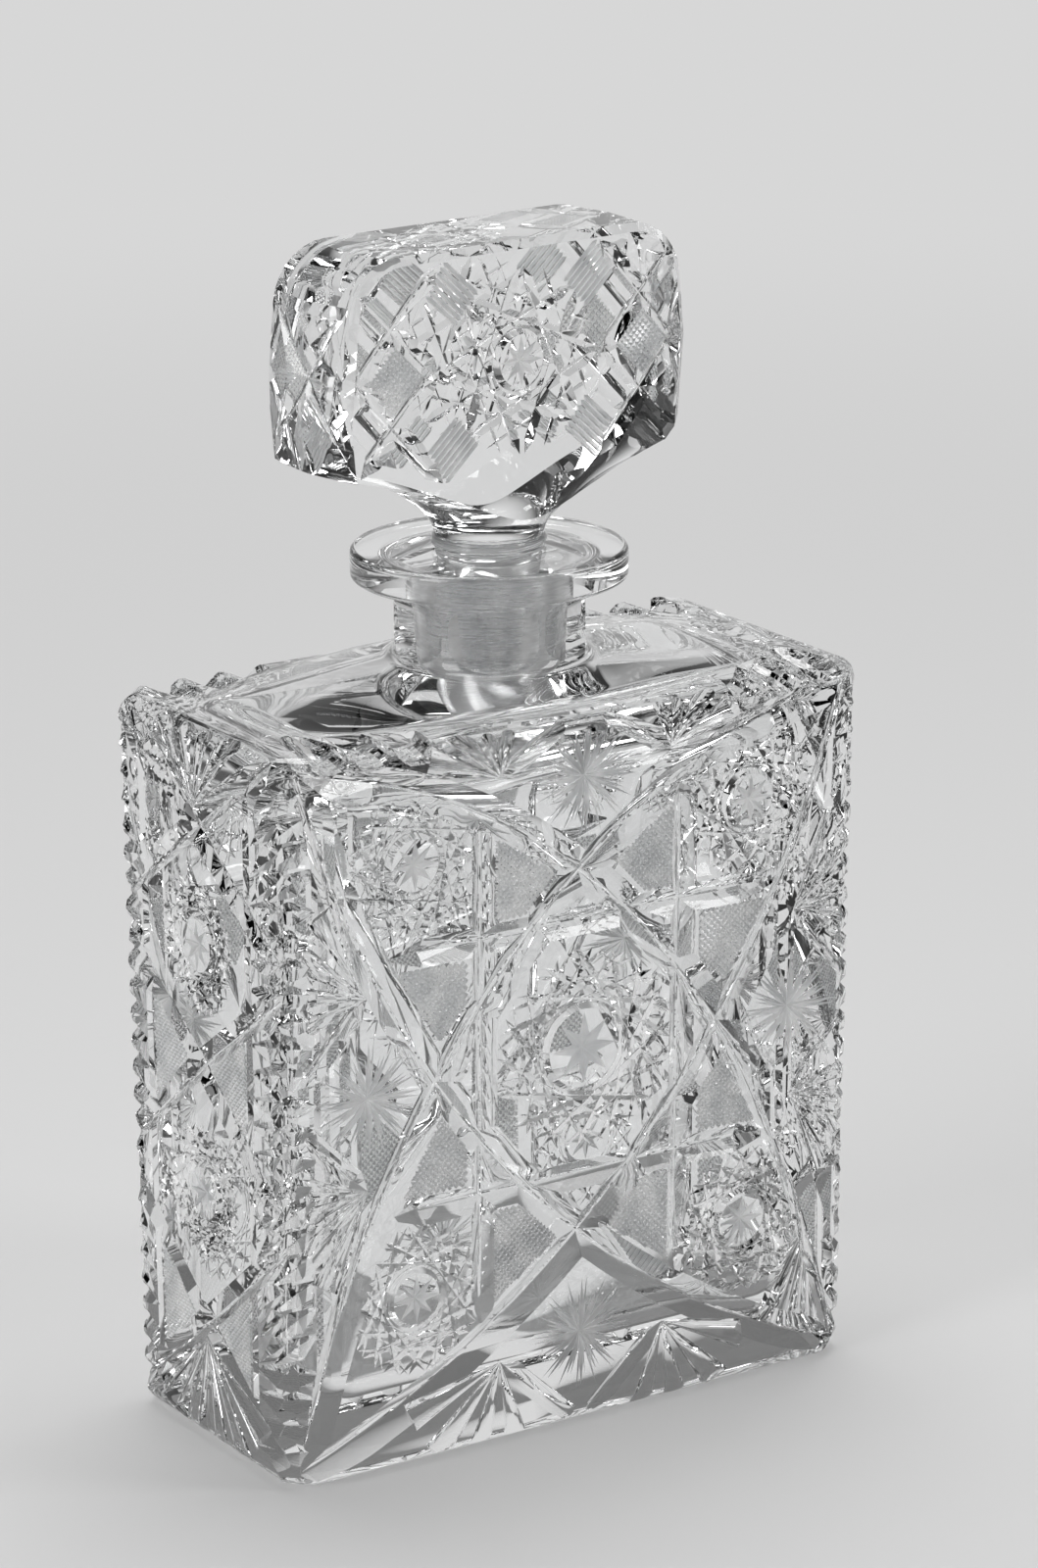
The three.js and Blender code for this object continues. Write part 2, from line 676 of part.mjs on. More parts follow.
const crystal = new THREE.MeshStandardMaterial({ color: 0xdfe6ea, roughness: 0.03, metalness: 0 });
const stopperCrystal = new THREE.MeshStandardMaterial({ color: 0xe4eaee, roughness: 0.05, metalness: 0 });

function piece(name, shape, material) {
  const mesh = new THREE.Mesh(geometryOf(finished(shape)), material);
  mesh.name = name;
  return mesh;
}

const decanter = new THREE.Group();
decanter.add(piece('decanter_body', decanterBody(), crystal));
decanter.add(piece('stopper', stopperSolid(), stopperCrystal));

export default decanter;
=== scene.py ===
import json
from collections import namedtuple
from math import atan2, cos, hypot, pi, radians, sin, sqrt

import bmesh
import bpy
from mathutils import Matrix, Vector

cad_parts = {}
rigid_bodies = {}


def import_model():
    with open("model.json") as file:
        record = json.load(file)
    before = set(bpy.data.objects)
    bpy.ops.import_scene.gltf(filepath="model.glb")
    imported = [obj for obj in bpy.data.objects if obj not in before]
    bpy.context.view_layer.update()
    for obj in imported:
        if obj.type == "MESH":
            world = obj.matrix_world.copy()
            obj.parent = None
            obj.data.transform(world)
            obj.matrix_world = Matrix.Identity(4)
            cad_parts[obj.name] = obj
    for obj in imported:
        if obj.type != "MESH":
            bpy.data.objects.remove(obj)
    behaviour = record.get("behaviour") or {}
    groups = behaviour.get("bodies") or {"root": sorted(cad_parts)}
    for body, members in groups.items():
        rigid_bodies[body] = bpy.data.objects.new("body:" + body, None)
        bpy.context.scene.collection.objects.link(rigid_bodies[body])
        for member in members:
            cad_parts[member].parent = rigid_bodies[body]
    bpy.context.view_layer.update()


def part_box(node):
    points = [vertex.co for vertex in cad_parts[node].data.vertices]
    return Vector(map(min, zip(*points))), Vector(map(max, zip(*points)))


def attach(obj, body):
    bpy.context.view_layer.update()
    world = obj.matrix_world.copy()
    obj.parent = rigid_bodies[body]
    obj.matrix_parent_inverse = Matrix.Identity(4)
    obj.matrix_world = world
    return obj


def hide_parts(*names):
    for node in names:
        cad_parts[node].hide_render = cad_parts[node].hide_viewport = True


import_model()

# The object is drawn in millimetres and set down in metres when its mesh is finished
MM = 0.001

BODY_LOW, BODY_HIGH = (Vector(corner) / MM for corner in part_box("decanter_body"))
STOPPER_LOW, STOPPER_HIGH = (Vector(corner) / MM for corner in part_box("stopper"))
BODY_WIDTH = BODY_HIGH.x - BODY_LOW.x
BODY_DEPTH = BODY_HIGH.y - BODY_LOW.y
LIP_TOP = BODY_HIGH.z
HEAD_TOP = STOPPER_HIGH.z
PLUG_BOTTOM = STOPPER_LOW.z

# Bottle block
BODY_HEIGHT = 150.0
BASE_WIDTH_SHARE = 0.988
BASE_DEPTH_SHARE = 0.909
CORNER_CHAMFER = 6.0
EDGE_ROUND = 5.0
ROUND_STEPS = 10
SIDE_WALL = 11.0
FACE_WALL = 10.0
BASE_THICKNESS = 14.0
SHOULDER_THICKNESS = 8.0
HOLLOW_ROUND = 9.0
HOLLOW_CORNER_STEPS = 6

# Shoulder, neck and lip
NECK_FOOT = 154.0
NECK_RADIUS = 19.0
NECK_FILLET = 3.0
SHOULDER_INSET = 2.5
SHOULDER_STEPS = 12
NECK_PANELS = 6
PANEL_CUT = 2.2
PANEL_END_GAP = 0.5
PANEL_STEPS = 8
LIP_RADIUS = 27.6
LIP_THICKNESS = 6.2
LIP_ROUND = 1.2
TURNED_STEPS = 120

# Stopper
PLUG_TOP_RADIUS = 10.6
GROUND_TAPER = 0.1
GROUND_CLEARANCE = 0.3
PLUG_CHAMFER = 1.0
COLLAR_RADIUS = 11.4
COLLAR_CORE = 9.5
COLLAR_HEIGHT = 2.6
COLLAR_SEAT_GAP = 0.3
COLLAR_ROUND = 0.8
COLLAR_STEPS = 4
STEM_RADIUS = 10.8
FLARE_START = 1.0
FLARE_STEPS = 16
HEAD_WIDTH = 86.0
HEAD_DEPTH = 27.5
HEAD_TOP_ROUND = 11.0
HEAD_ROUND_STEPS = 7
HEAD_RIM = 197.6
HEAD_EDGE_BEVEL = 1.6
HEAD_END_POINT = 2.0
HEAD_END_SLOPE = 2.2
HEAD_FOOT_ROUND = 9.5
HEAD_FOOT_HEIGHT = 206.7
HEAD_FOOT_FACETS = (radians(15), radians(30), radians(45))
HEAD_STAR_V = 215.7
HEAD_TURN = radians(4)
HEAD_SHIFT = -2.0

# Cuts: width at the surface, depth, and how far the tool stands out over the surface
Cut = namedtuple("Cut", "width depth over", defaults=(2.5,))
ARC = Cut(7.8, 3.0)
FRAME = Cut(6.0, 2.4)
KITE = Cut(4.4, 1.9)
SIDE_DIAGONAL = Cut(5.4, 2.2)
SIDE_LINE = Cut(2.4, 1.2)
CHORD = Cut(1.5, 0.75)
FAR_CHORD = Cut(0.8, 0.4)
HEAD_CHORD = Cut(2.3, 1.1)
RING = Cut(2.0, 1.1)
RAY = Cut(0.6, 0.35)
HATCH = Cut(0.84, 0.42, 0.06)
FLUTE = Cut(6.4, 1.9)
NOTCH = Cut(5.0, 1.9)
GROOVE = Cut(1.05, 0.5, 0.06)
SCALLOP = Cut(8.8, 3.8)

# Rounding along the bottom of a broad cut, and the share of its depth past which its bottom counts
KEEL = 0.7
KEEL_STEPS = 4
KEEL_SHARE = 0.9
# How far the pointed end of a tool stands out of the glass
SKIM = 0.02
# A circle of three segments and radius 1, from which the V of a cut is made
TRIANGLE_HEIGHT = 1.5
TRIANGLE_HALF_WIDTH = sin(pi / 3)

ARC_STEPS = 24
RING_STEPS = 36
FLUTE_STEPS = 20
FLUTE_APEX = 0.02
HATCH_PITCH = 1.05
HATCH_ANGLE = radians(45)

# Length over which a cut runs out to a point
FRAME_TIP = 9
KITE_TIP = 4
CHORD_TIP = 3
SIDE_LINE_TIP = 8
END_CROSS_TIP = 3
GROOVE_TIP = 0.8

# Hobstars: ring, outer reach, and the chords that pass close to the ring
Hobstar = namedtuple("Hobstar", "ring reach chords cut")
MIDDLE_HOBSTAR = Hobstar(9.2, 21.0, 16, CHORD)
CORNER_HOBSTAR = Hobstar(6.3, 16.0, 16, CHORD)
SIDE_HOBSTAR = Hobstar(6.4, 14.5, 16, CHORD)
HEAD_HOBSTAR = Hobstar(6.2, 18.5, 8, HEAD_CHORD)
# Near chords miss the ring by this share of their width; far chords lie this share of the way out
RING_CLEARANCE = 0.6
FAR_CHORD_SHARE = 0.37

# Matt stars: share of the radius that the points reach, and share of that where the valleys lie
Pit = namedtuple("Pit", "reach points depth valley turn")
BUTTON_STAR = Pit(0.84, 8, 0.9, 0.42, 0.0)
LONG_SPEARS = Pit(1.0, 8, 1.1, 0.2, 0.0)
SHORT_SPEARS = Pit(0.8, 8, 1.0, 0.22, pi / 8)
FROST_RAYS = 16
LONG_RAY = 1.05
SHORT_RAY = 0.8
RAY_TIP_SHARE = 0.5
FROST_RADIUS = 12
HEAD_FROST_RADIUS = 9

# Fans of flutes
Fan = namedtuple("Fan", "spread count length dip")
KITE_FAN = Fan(radians(75), 4, 21, 0.0)
TOP_FAN = Fan(radians(84), 4, 17, radians(4.6))
LOW_FAN = Fan(radians(84), 4, 22, radians(3.4))
SIDE_TOP_FAN = Fan(radians(130), 6, 21, radians(4))
SIDE_LOW_FAN = Fan(radians(110), 6, 26, radians(3))

# Hollows across the top edges
SCALLOP_COUNT = 3
SCALLOP_PITCH = 9.2
SCALLOP_LENGTH = 30.0
SCALLOP_START = 11.3
SCALLOP_INSIDE = 6.0
SCALLOP_TILT = radians(10)
SCALLOP_ROUND_STEPS = 20
SCALLOP_LONG_STEPS = 12

# Notches up the corners: those in the steep bands slant more
NOTCH_PITCH = 5.6
NOTCH_LENGTH = 13
FLANK_NOTCH_LENGTH = 17
STEEP_BANDS = ((28, 62), (122, BODY_HEIGHT))
STEEP_SLANT = radians(38)
SLIGHT_SLANT = radians(6)

# Finishing: edges sharper than a crease stay sharp, and less than a sliver is cleared away
CREASE = radians(12)
MATT_CREASE = radians(2)
SLIVER = 0.001
# Longer than any step of a rounding, and shorter than any side of a blank
SIDE_LENGTH = 1.0
# How sharp the rim of the head's faces is, and how near to a face its corners lie
RIM_ANGLE = radians(60)
TOUCH = 0.01
# How far a tool or a joined piece runs past the surface that it meets
PAST = 1.0


class Tools:
    """Cutting tools in layers. The tools of one layer never touch each other."""

    def __init__(self):
        self.layers = {}

    def layer(self, name, finish):
        key = (name, finish.name)
        if key not in self.layers:
            self.layers[key] = (bmesh.new(), finish)
        return self.layers[key][0]

    def objects(self):
        return [as_object(name, bm, finish) for (name, _), (bm, finish) in self.layers.items()]


def as_object(name, bm, finish):
    mesh = bpy.data.meshes.new(name)
    bmesh.ops.recalc_face_normals(bm, faces=bm.faces)
    bm.to_mesh(mesh)
    bm.free()
    mesh.materials.append(finish)
    piece = bpy.data.objects.new(name, mesh)
    bpy.context.scene.collection.objects.link(piece)
    return piece


def combine(piece, others, operation):
    """Joins or cuts a piece with other objects, which are used up."""
    group = bpy.data.collections.new("used_up")
    bpy.context.scene.collection.children.link(group)
    for other in others:
        group.objects.link(other)
    modifier = piece.modifiers.new("combine", "BOOLEAN")
    modifier.operand_type = "COLLECTION"
    modifier.collection = group
    modifier.operation = operation
    modifier.solver = "MANIFOLD"
    modifier.material_mode = "TRANSFER"
    bpy.context.view_layer.update()
    evaluated = piece.evaluated_get(bpy.context.evaluated_depsgraph_get())
    mesh = bpy.data.meshes.new_from_object(evaluated)
    piece.modifiers.clear()
    piece.data = mesh
    for other in others:
        bpy.data.meshes.remove(other.data)
    bpy.data.collections.remove(group)


def on_face(turn, distance):
    """Place of a flat pattern (u across, v up, w outwards) on the side that faces a turn from -Y."""
    upright = Matrix.Rotation(radians(90), 4, "X")
    return Matrix.Rotation(radians(turn), 4, "Z") @ Matrix.Translation((0, -distance, 0)) @ upright


def section_matrix(cut, depth):
    """Shapes a three-sided circle into the V of a cut, its point down in the glass."""
    half = cut.width / 2 / cut.depth * (cut.over + depth)
    drop = (cut.over + depth) / TRIANGLE_HEIGHT
    to_v = Matrix(((1, 0, 0, 0), (0, 0, 1, 0), (0, -1, 0, drop - depth), (0, 0, 0, 1)))
    return to_v @ Matrix.Diagonal((half / TRIANGLE_HALF_WIDTH, drop, 1, 1))


def sweep(bm, place, stations, cut, round_bottom=0.0):
    """V cut along stations of (point, depth), its section square to the way through them."""
    points = [point for point, depth in stations]
    sections = []
    for i, (point, depth) in enumerate(stations):
        ahead = points[min(i + 1, len(points) - 1)] - points[max(i - 1, 0)]
        heading = Matrix.Rotation(atan2(ahead.y, ahead.x) - pi / 2, 4, "Z")
        sections.append(place @ Matrix.Translation((*point, 0)) @ heading @ section_matrix(cut, depth))
    ring = bmesh.ops.create_circle(bm, cap_ends=True, radius=1, segments=3, matrix=sections[0])
    cap = ring["verts"][0].link_faces[0]
    verts = list(ring["verts"])
    inner = []
    for before, after in zip(sections, sections[1:]):
        grown = bmesh.ops.extrude_face_region(bm, geom=[cap])["geom"]
        inner.append(cap)
        corners = [item for item in grown if isinstance(item, bmesh.types.BMVert)]
        bmesh.ops.transform(bm, matrix=after @ before.inverted(), verts=corners)
        verts += corners
        cap = next(item for item in grown if isinstance(item, bmesh.types.BMFace))
    bmesh.ops.delete(bm, geom=inner[1:], context="FACES_ONLY")
    if round_bottom:
        flat = place.inverted()
        low = {vert for vert in verts if (flat @ vert.co).z < -KEEL_SHARE * cut.depth}
        keel = {edge for vert in low for edge in vert.link_edges if edge.other_vert(vert) in low}
        bmesh.ops.bevel(bm, geom=list(keel), offset=round_bottom, segments=KEEL_STEPS, profile=0.5,
                        affect="EDGES", material=-1)


def bezier(points, steps):
    """Points of a cubic curve, run on a little past both its ends."""
    path = []
    for i in range(-1, steps + 2):
        t = i / steps
        s = 1 - t
        share = (s ** 3, 3 * s * s * t, 3 * s * t * t, t ** 3)
        path.append(sum((Vector(p) * k for p, k in zip(points, share)), Vector((0, 0))))
    return path


def bezier_profile(points, steps):
    """The same curve from end to end, as plain points of a profile."""
    return [tuple(point) for point in bezier(points, steps)[1:-1]]


def mitre(bm, place, start, end, cut, tip=0.0, round_bottom=0.0):
    """Straight V cut; with a tip, it runs out to a point at both ends."""
    start, end = Vector(start), Vector(end)
    stations = [(start, cut.depth), (end, cut.depth)]
    if tip:
        share = tip / (end - start).length
        inner = ((start.lerp(end, share), cut.depth), (start.lerp(end, 1 - share), cut.depth))
        stations = [(start, -SKIM), *inner, (end, -SKIM)]
    sweep(bm, place, stations, cut, round_bottom)


def leaf(bm, place, centre, angle, length, cut):
    """Lens-shaped V cut, deepest in its middle."""
    matrix = place @ Matrix.Translation((*centre, 0)) @ Matrix.Rotation(angle, 4, "Z")
    matrix = matrix @ Matrix.Diagonal((length / 2, cut.width / 2, cut.depth, 1))
    bmesh.ops.create_uvsphere(bm, u_segments=4, v_segments=2, radius=1, matrix=matrix)


def flute(bm, place, apex, angle, length, dip):
    """Hollow cut that widens from an apex and dips into the glass towards its far end."""
    matrix = place @ Matrix.Translation((*apex, SKIM)) @ Matrix.Rotation(angle - pi / 2, 4, "Z")
    matrix = matrix @ Matrix.Rotation(-dip, 4, "X")
    matrix = matrix @ Matrix.Diagonal((FLUTE.width / 2, length, FLUTE.depth, 1))
    matrix = matrix @ Matrix.Translation((0, 0.5, 0)) @ Matrix.Rotation(-pi / 2, 4, "X")
    bmesh.ops.create_cone(bm, cap_ends=True, segments=FLUTE_STEPS, radius1=FLUTE_APEX, radius2=1,
                          depth=1, matrix=matrix)


def ring_cut(bm, place, centre, radius):
    """V groove round a circle."""
    half = RING.width / 2 / RING.depth * (RING.over + RING.depth)
    corners = ((radius, -RING.depth), (radius + half, RING.over), (radius - half, RING.over))
    groove = bmesh.new()
    verts = [groove.verts.new((across, 0, out)) for across, out in corners]
    edges = [groove.edges.new((verts[i], verts[i - 1])) for i in range(len(verts))]
    bmesh.ops.spin(groove, geom=verts + edges, axis=(0, 0, 1), cent=(0, 0, 0), angle=2 * pi,
                   steps=RING_STEPS, use_merge=True)
    bmesh.ops.transform(groove, matrix=place @ Matrix.Translation((*centre, 0)), verts=groove.verts)
    passing = bpy.data.meshes.new("groove")
    groove.to_mesh(passing)
    groove.free()
    bm.from_mesh(passing)
    bpy.data.meshes.remove(passing)


def star_pit(bm, place, centre, radius, pit):
    """Shallow pit in the plan of a star, its facets running down to the centre."""
    matrix = Matrix.Translation((*centre, SKIM - pit.depth / 2)) @ Matrix.Rotation(pit.turn, 4, "Z")
    cone = bmesh.ops.create_cone(bm, cap_ends=True, segments=2 * pit.points, radius1=0,
                                 radius2=radius * pit.reach, depth=pit.depth)
    rim = [vert for vert in cone["verts"] if vert.co.z > 0]
    rim.sort(key=lambda vert: atan2(vert.co.y, vert.co.x))
    bmesh.ops.scale(bm, vec=(pit.valley, pit.valley, 1), verts=rim[::2])
    bmesh.ops.transform(bm, matrix=place @ matrix, verts=cone["verts"])


def across_polygon(corners, origin, direction):
    """Where a line enters and leaves a convex outline, or None."""
    normal = Vector((-direction.y, direction.x))
    hits = []
    for a, b in zip(corners, corners[1:] + corners[:1]):
        da, db = (a - origin).dot(normal), (b - origin).dot(normal)
        if (da < 0) != (db < 0):
            hits.append(a.lerp(b, da / (da - db)))
    return sorted(hits, key=lambda hit: hit.dot(direction)) if len(hits) == 2 else None


def rule_lines(bm, place, corners, angle, pitch, cut, tip=0.0):
    """Parallel V cuts that fill a convex outline."""
    direction = Vector((cos(angle), sin(angle)))
    normal = Vector((-direction.y, direction.x))
    reach = [corner.dot(normal) for corner in corners]
    count = int((max(reach) - min(reach)) / pitch)
    first = (max(reach) + min(reach) - (count - 1) * pitch) / 2
    for i in range(count):
        ends = across_polygon(corners, normal * (first + i * pitch), direction)
        if ends and (ends[1] - ends[0]).length > 2 * pitch:
            mitre(bm, place, ends[0], ends[1], cut, tip)


def hatch(tools, place, corners):
    """Cross-hatched panel: two sets of fine cuts leave rows of small points."""
    corners = [Vector(corner) for corner in corners]
    for i, turn in enumerate((HATCH_ANGLE, HATCH_ANGLE + pi / 2)):
        rule_lines(tools.layer("hatch_%d" % i, GROUND), place, corners, turn, HATCH_PITCH, HATCH)


def hobstar(tools, place, centre, star):
    """Net of chords, near and far from the middle, round a ringed button with a matt star in it."""
    near = star.ring + star.cut.width * RING_CLEARANCE
    far = near + (star.reach - near) * FAR_CHORD_SHARE
    for i in range(star.chords):
        angle = (i + 0.5) * 2 * pi / star.chords
        outward = Vector((cos(angle), sin(angle)))
        along = Vector((-outward.y, outward.x))
        for name, away, cut in (("chord_%d", near, star.cut), ("far_chord_%d", far, FAR_CHORD)):
            half = sqrt(star.reach ** 2 - away ** 2)
            middle = Vector(centre) + outward * away
            layer = tools.layer(name % i, CRYSTAL)
            mitre(layer, place, middle - along * half, middle + along * half, cut, CHORD_TIP)
    star_pit(tools.layer("button_star", GROUND), place, centre, star.ring, BUTTON_STAR)
    ring_cut(tools.layer("ring", CRYSTAL), place, centre, star.ring)


def frost_star(tools, place, centre, radius):
    """Matt star of long and short spears, with fine rays over it."""
    star_pit(tools.layer("long_spears", GROUND), place, centre, radius, LONG_SPEARS)
    star_pit(tools.layer("short_spears", GROUND), place, centre, radius, SHORT_SPEARS)
    for i in range(FROST_RAYS):
        angle = (i + 0.5) * pi / FROST_RAYS
        ray = Vector((cos(angle), sin(angle))) * radius * (LONG_RAY if i % 2 else SHORT_RAY)
        layer = tools.layer("frost_ray_%d" % i, GROUND)
        mitre(layer, place, Vector(centre) - ray, Vector(centre) + ray, RAY, radius * RAY_TIP_SHARE)


def fan_cut(tools, place, apex, heading, fan):
    """Flutes that spread from one apex."""
    for i in range(fan.count):
        angle = heading + fan.spread * (i / (fan.count - 1) - 0.5)
        flute(tools.layer("fan_%d" % i, CRYSTAL), place, apex, angle, fan.length, fan.dip)


# Cut pattern of a broad face: u from its middle line and v from the table
MIDDLE = 80.8
EDGE_V = MIDDLE - 1
TOP_ARC = ((-64, 147), (-2, 137), (46, 83), (65, 3.5))
LOW_ARC = ((-64, 147), (-46, 78.6), (2, 25), (65, 3.5))
FRAME_U = 23.4
FRAME_V = 26.7
FRAME_REACH_U = 46.5
FRAME_REACH_V = 57.0
TOP_KITE = ((19.8, 139.8), (0, 152))
LOW_KITE = ((19.6, 18.0), (0, 0))
KITE_FAN_LEAN = 28
SIDE_KITE_TIP = 69.5
SIDE_KITE_FAN_LEAN = radians(24)
TOP_STAR = (0, 137)
LOW_STAR = (0, 20)
EDGE_STAR = 50.0
# What its four quarters repeat, v from MIDDLE
SIDE_KITE = (50.4, 19.8)
CORNER_STAR = (39.3, 44.8)
INNER_PANEL = ((22.0, 50.2), (6.0, 38.8), (14.0, 30.2), (20.8, 30.2))
OUTER_PANEL = ((27.5, 23.2), (44.0, 23.6), (33.7, 7.6), (27.5, 14.5))


def arcs_and_frame(tools, place, side):
    """The long cuts that divide a broad face."""
    for name, arc in (("top", TOP_ARC), ("low", LOW_ARC)):
        path = [(point, ARC.depth) for point in bezier([(side * u, v) for u, v in arc], ARC_STEPS)]
        sweep(tools.layer("%s_arc_%d" % (name, side), CRYSTAL), place, path, ARC, KEEL)
    foot, top = [(side * FRAME_U, MIDDLE + up * FRAME_REACH_V) for up in (-1, 1)]
    mitre(tools.layer("frame_upright", CRYSTAL), place, foot, top, FRAME, FRAME_TIP, KEEL)
    left, right = [(across * FRAME_REACH_U, MIDDLE + side * FRAME_V) for across in (-1, 1)]
    mitre(tools.layer("frame_level", CRYSTAL), place, left, right, FRAME, FRAME_TIP, KEEL)
    for (kite_u, kite_v), peak in (TOP_KITE, LOW_KITE):
        layer = tools.layer("kite_%d" % side, CRYSTAL)
        mitre(layer, place, (side * kite_u, kite_v), peak, KITE, KITE_TIP, KEEL)


def face_quarter(tools, place, side, up):
    """Side kite, hobstar, hatched panels and fan in one quarter of a broad face."""
    kite = (side * SIDE_KITE[0], MIDDLE + up * SIDE_KITE[1])
    layer = tools.layer("side_kite_%d" % up, CRYSTAL)
    mitre(layer, place, kite, (side * SIDE_KITE_TIP, EDGE_V), KITE, KITE_TIP, KEEL)
    hobstar(tools, place, (side * CORNER_STAR[0], MIDDLE + up * CORNER_STAR[1]), CORNER_HOBSTAR)
    for panel in (INNER_PANEL, OUTER_PANEL):
        hatch(tools, place, [(side * u, MIDDLE + up * v) for u, v in panel])
    outward = 0 if side > 0 else pi
    fan_cut(tools, place, kite, outward + side * up * SIDE_KITE_FAN_LEAN, KITE_FAN)


def broad_face(tools, place):
    for side in (-1, 1):
        arcs_and_frame(tools, place, side)
        frost_star(tools, place, (side * EDGE_STAR, EDGE_V), FROST_RADIUS)
        for up in (-1, 1):
            face_quarter(tools, place, side, up)
        for up, ((kite_u, kite_v), peak), fan in ((1, TOP_KITE, TOP_FAN), (-1, LOW_KITE, LOW_FAN)):
            heading = radians(up * (90 - side * KITE_FAN_LEAN))
            fan_cut(tools, place, (side * kite_u, kite_v), heading, fan)
    frost_star(tools, place, TOP_STAR, FROST_RADIUS)
    frost_star(tools, place, LOW_STAR, FROST_RADIUS)
    hobstar(tools, place, (0, MIDDLE), MIDDLE_HOBSTAR)


def edge_scallops(tools, place):
    """Long hollows ground across the rolled top edge, near both its ends."""
    for side in (-1, 1):
        for i in range(SCALLOP_COUNT):
            across = side * (BODY_WIDTH / 2 - SCALLOP_START - i * SCALLOP_PITCH)
            matrix = place @ Matrix.Translation((across, BODY_HEIGHT, -SCALLOP_INSIDE))
            matrix = matrix @ Matrix.Rotation(SCALLOP_TILT - pi / 2, 4, "X")
            matrix = matrix @ Matrix.Diagonal((SCALLOP.width / 2, SCALLOP_LENGTH / 2, SCALLOP.depth, 1))
            layer = tools.layer("scallop_%d" % (i % 2), CRYSTAL)
            bmesh.ops.create_uvsphere(layer, u_segments=SCALLOP_ROUND_STEPS, v_segments=SCALLOP_LONG_STEPS,
                                      radius=1, matrix=matrix)


# Cut pattern of a narrow face: diagonals cross on its middle line and turn back at its edges
CROSSINGS = (27.0, 81.0, 130.0)
CROSSING_RUN = 25
SIDE_STARS = tuple((low + high) / 2 for low, high in zip(CROSSINGS, CROSSINGS[1:]))
TURNS = (CROSSINGS[0] - CROSSING_RUN, *SIDE_STARS, CROSSINGS[-1] + CROSSING_RUN)
SIDE_LINE_U = 20.5
SIDE_LINE_ENDS = (4, 146)
SIDE_PANEL = ((5.0, 0), (18.5, -11.5), (18.5, 11.5))
SIDE_TOP_APEX = (0, 134)
SIDE_LOW_APEX = (0, 23)


def narrow_face(tools, place):
    half = BODY_DEPTH / 2 + PAST
    for side in (-1, 1):
        for below, crossing, above in zip(TURNS, CROSSINGS, TURNS[1:]):
            path = ((-side * half, below), (0, crossing), (side * half, above))
            stations = [(Vector(point), SIDE_DIAGONAL.depth) for point in path]
            sweep(tools.layer("diagonal_%d" % side, CRYSTAL), place, stations, SIDE_DIAGONAL, KEEL)
        foot, top = [(side * SIDE_LINE_U, v) for v in SIDE_LINE_ENDS]
        mitre(tools.layer("side_line", CRYSTAL), place, foot, top, SIDE_LINE, SIDE_LINE_TIP)
        for crossing in CROSSINGS[:2]:
            hatch(tools, place, [(side * u, crossing + v) for u, v in SIDE_PANEL])
    for height in SIDE_STARS:
        hobstar(tools, place, (0, height), SIDE_HOBSTAR)
    fan_cut(tools, place, SIDE_TOP_APEX, radians(90), SIDE_TOP_FAN)
    fan_cut(tools, place, SIDE_LOW_APEX, radians(-90), SIDE_LOW_FAN)


def corner_notches(tools, side_x, side_y):
    """Ladder of notches up a chamfered corner, slanted near its top and in its lower half."""
    spot = Vector((side_x * (BODY_WIDTH - CORNER_CHAMFER), side_y * (BODY_DEPTH - CORNER_CHAMFER), 0)) / 2
    chamfer = Matrix.Translation(spot) @ on_face(side_x * (90 + side_y * 45), 0)
    flank = on_face(side_x * 90, BODY_WIDTH / 2)
    inwards = side_x * side_y
    reach = inwards * (BODY_DEPTH / 2 - CORNER_CHAMFER)
    count = int((BODY_HEIGHT - 2 * EDGE_ROUND) / NOTCH_PITCH)
    first = (BODY_HEIGHT - (count - 1) * NOTCH_PITCH) / 2
    for i in range(count):
        height = first + i * NOTCH_PITCH
        steep = any(low < height < high for low, high in STEEP_BANDS)
        lean = inwards * (STEEP_SLANT if steep else SLIGHT_SLANT)
        layer = tools.layer("chamfer_notch_%d" % (i % 2), CRYSTAL)
        leaf(layer, chamfer, (0, height), lean, NOTCH_LENGTH, NOTCH)
        layer = tools.layer("flank_notch_%d" % (i % 2), CRYSTAL)
        leaf(layer, flank, (reach, height), lean, FLANK_NOTCH_LENGTH, NOTCH)


def body_tools():
    tools = Tools()
    for turn in (0, 180):
        broad_face(tools, on_face(turn, BODY_DEPTH / 2))
        edge_scallops(tools, on_face(turn, BODY_DEPTH / 2))
        narrow_face(tools, on_face(turn + 90, BODY_WIDTH / 2))
    for side_x in (-1, 1):
        for side_y in (-1, 1):
            corner_notches(tools, side_x, side_y)
    return tools


def extent(edge):
    """How far an edge reaches along x, y and z."""
    start, end = edge.verts
    return Vector([abs(step) for step in start.co - end.co])


def rounded_block(name, size, low, corner, corner_steps, roll):
    """Block with its upright corners cut or rounded, and its top and bottom edges rolled."""
    bm = bmesh.new()
    matrix = Matrix.Translation((0, 0, low + size[2] / 2)) @ Matrix.Diagonal((*size, 1))
    bmesh.ops.create_cube(bm, size=1, matrix=matrix)
    upright = [edge for edge in bm.edges if extent(edge).z > SIDE_LENGTH]
    bmesh.ops.bevel(bm, geom=upright, offset=corner, segments=corner_steps, profile=0.5,
                    affect="EDGES", material=-1)
    level = [edge for edge in bm.edges if extent(edge).z < SIDE_LENGTH]
    bmesh.ops.bevel(bm, geom=level, offset=roll, segments=ROUND_STEPS, profile=0.5,
                    affect="EDGES", material=-1)
    return as_object(name, bm, CRYSTAL)


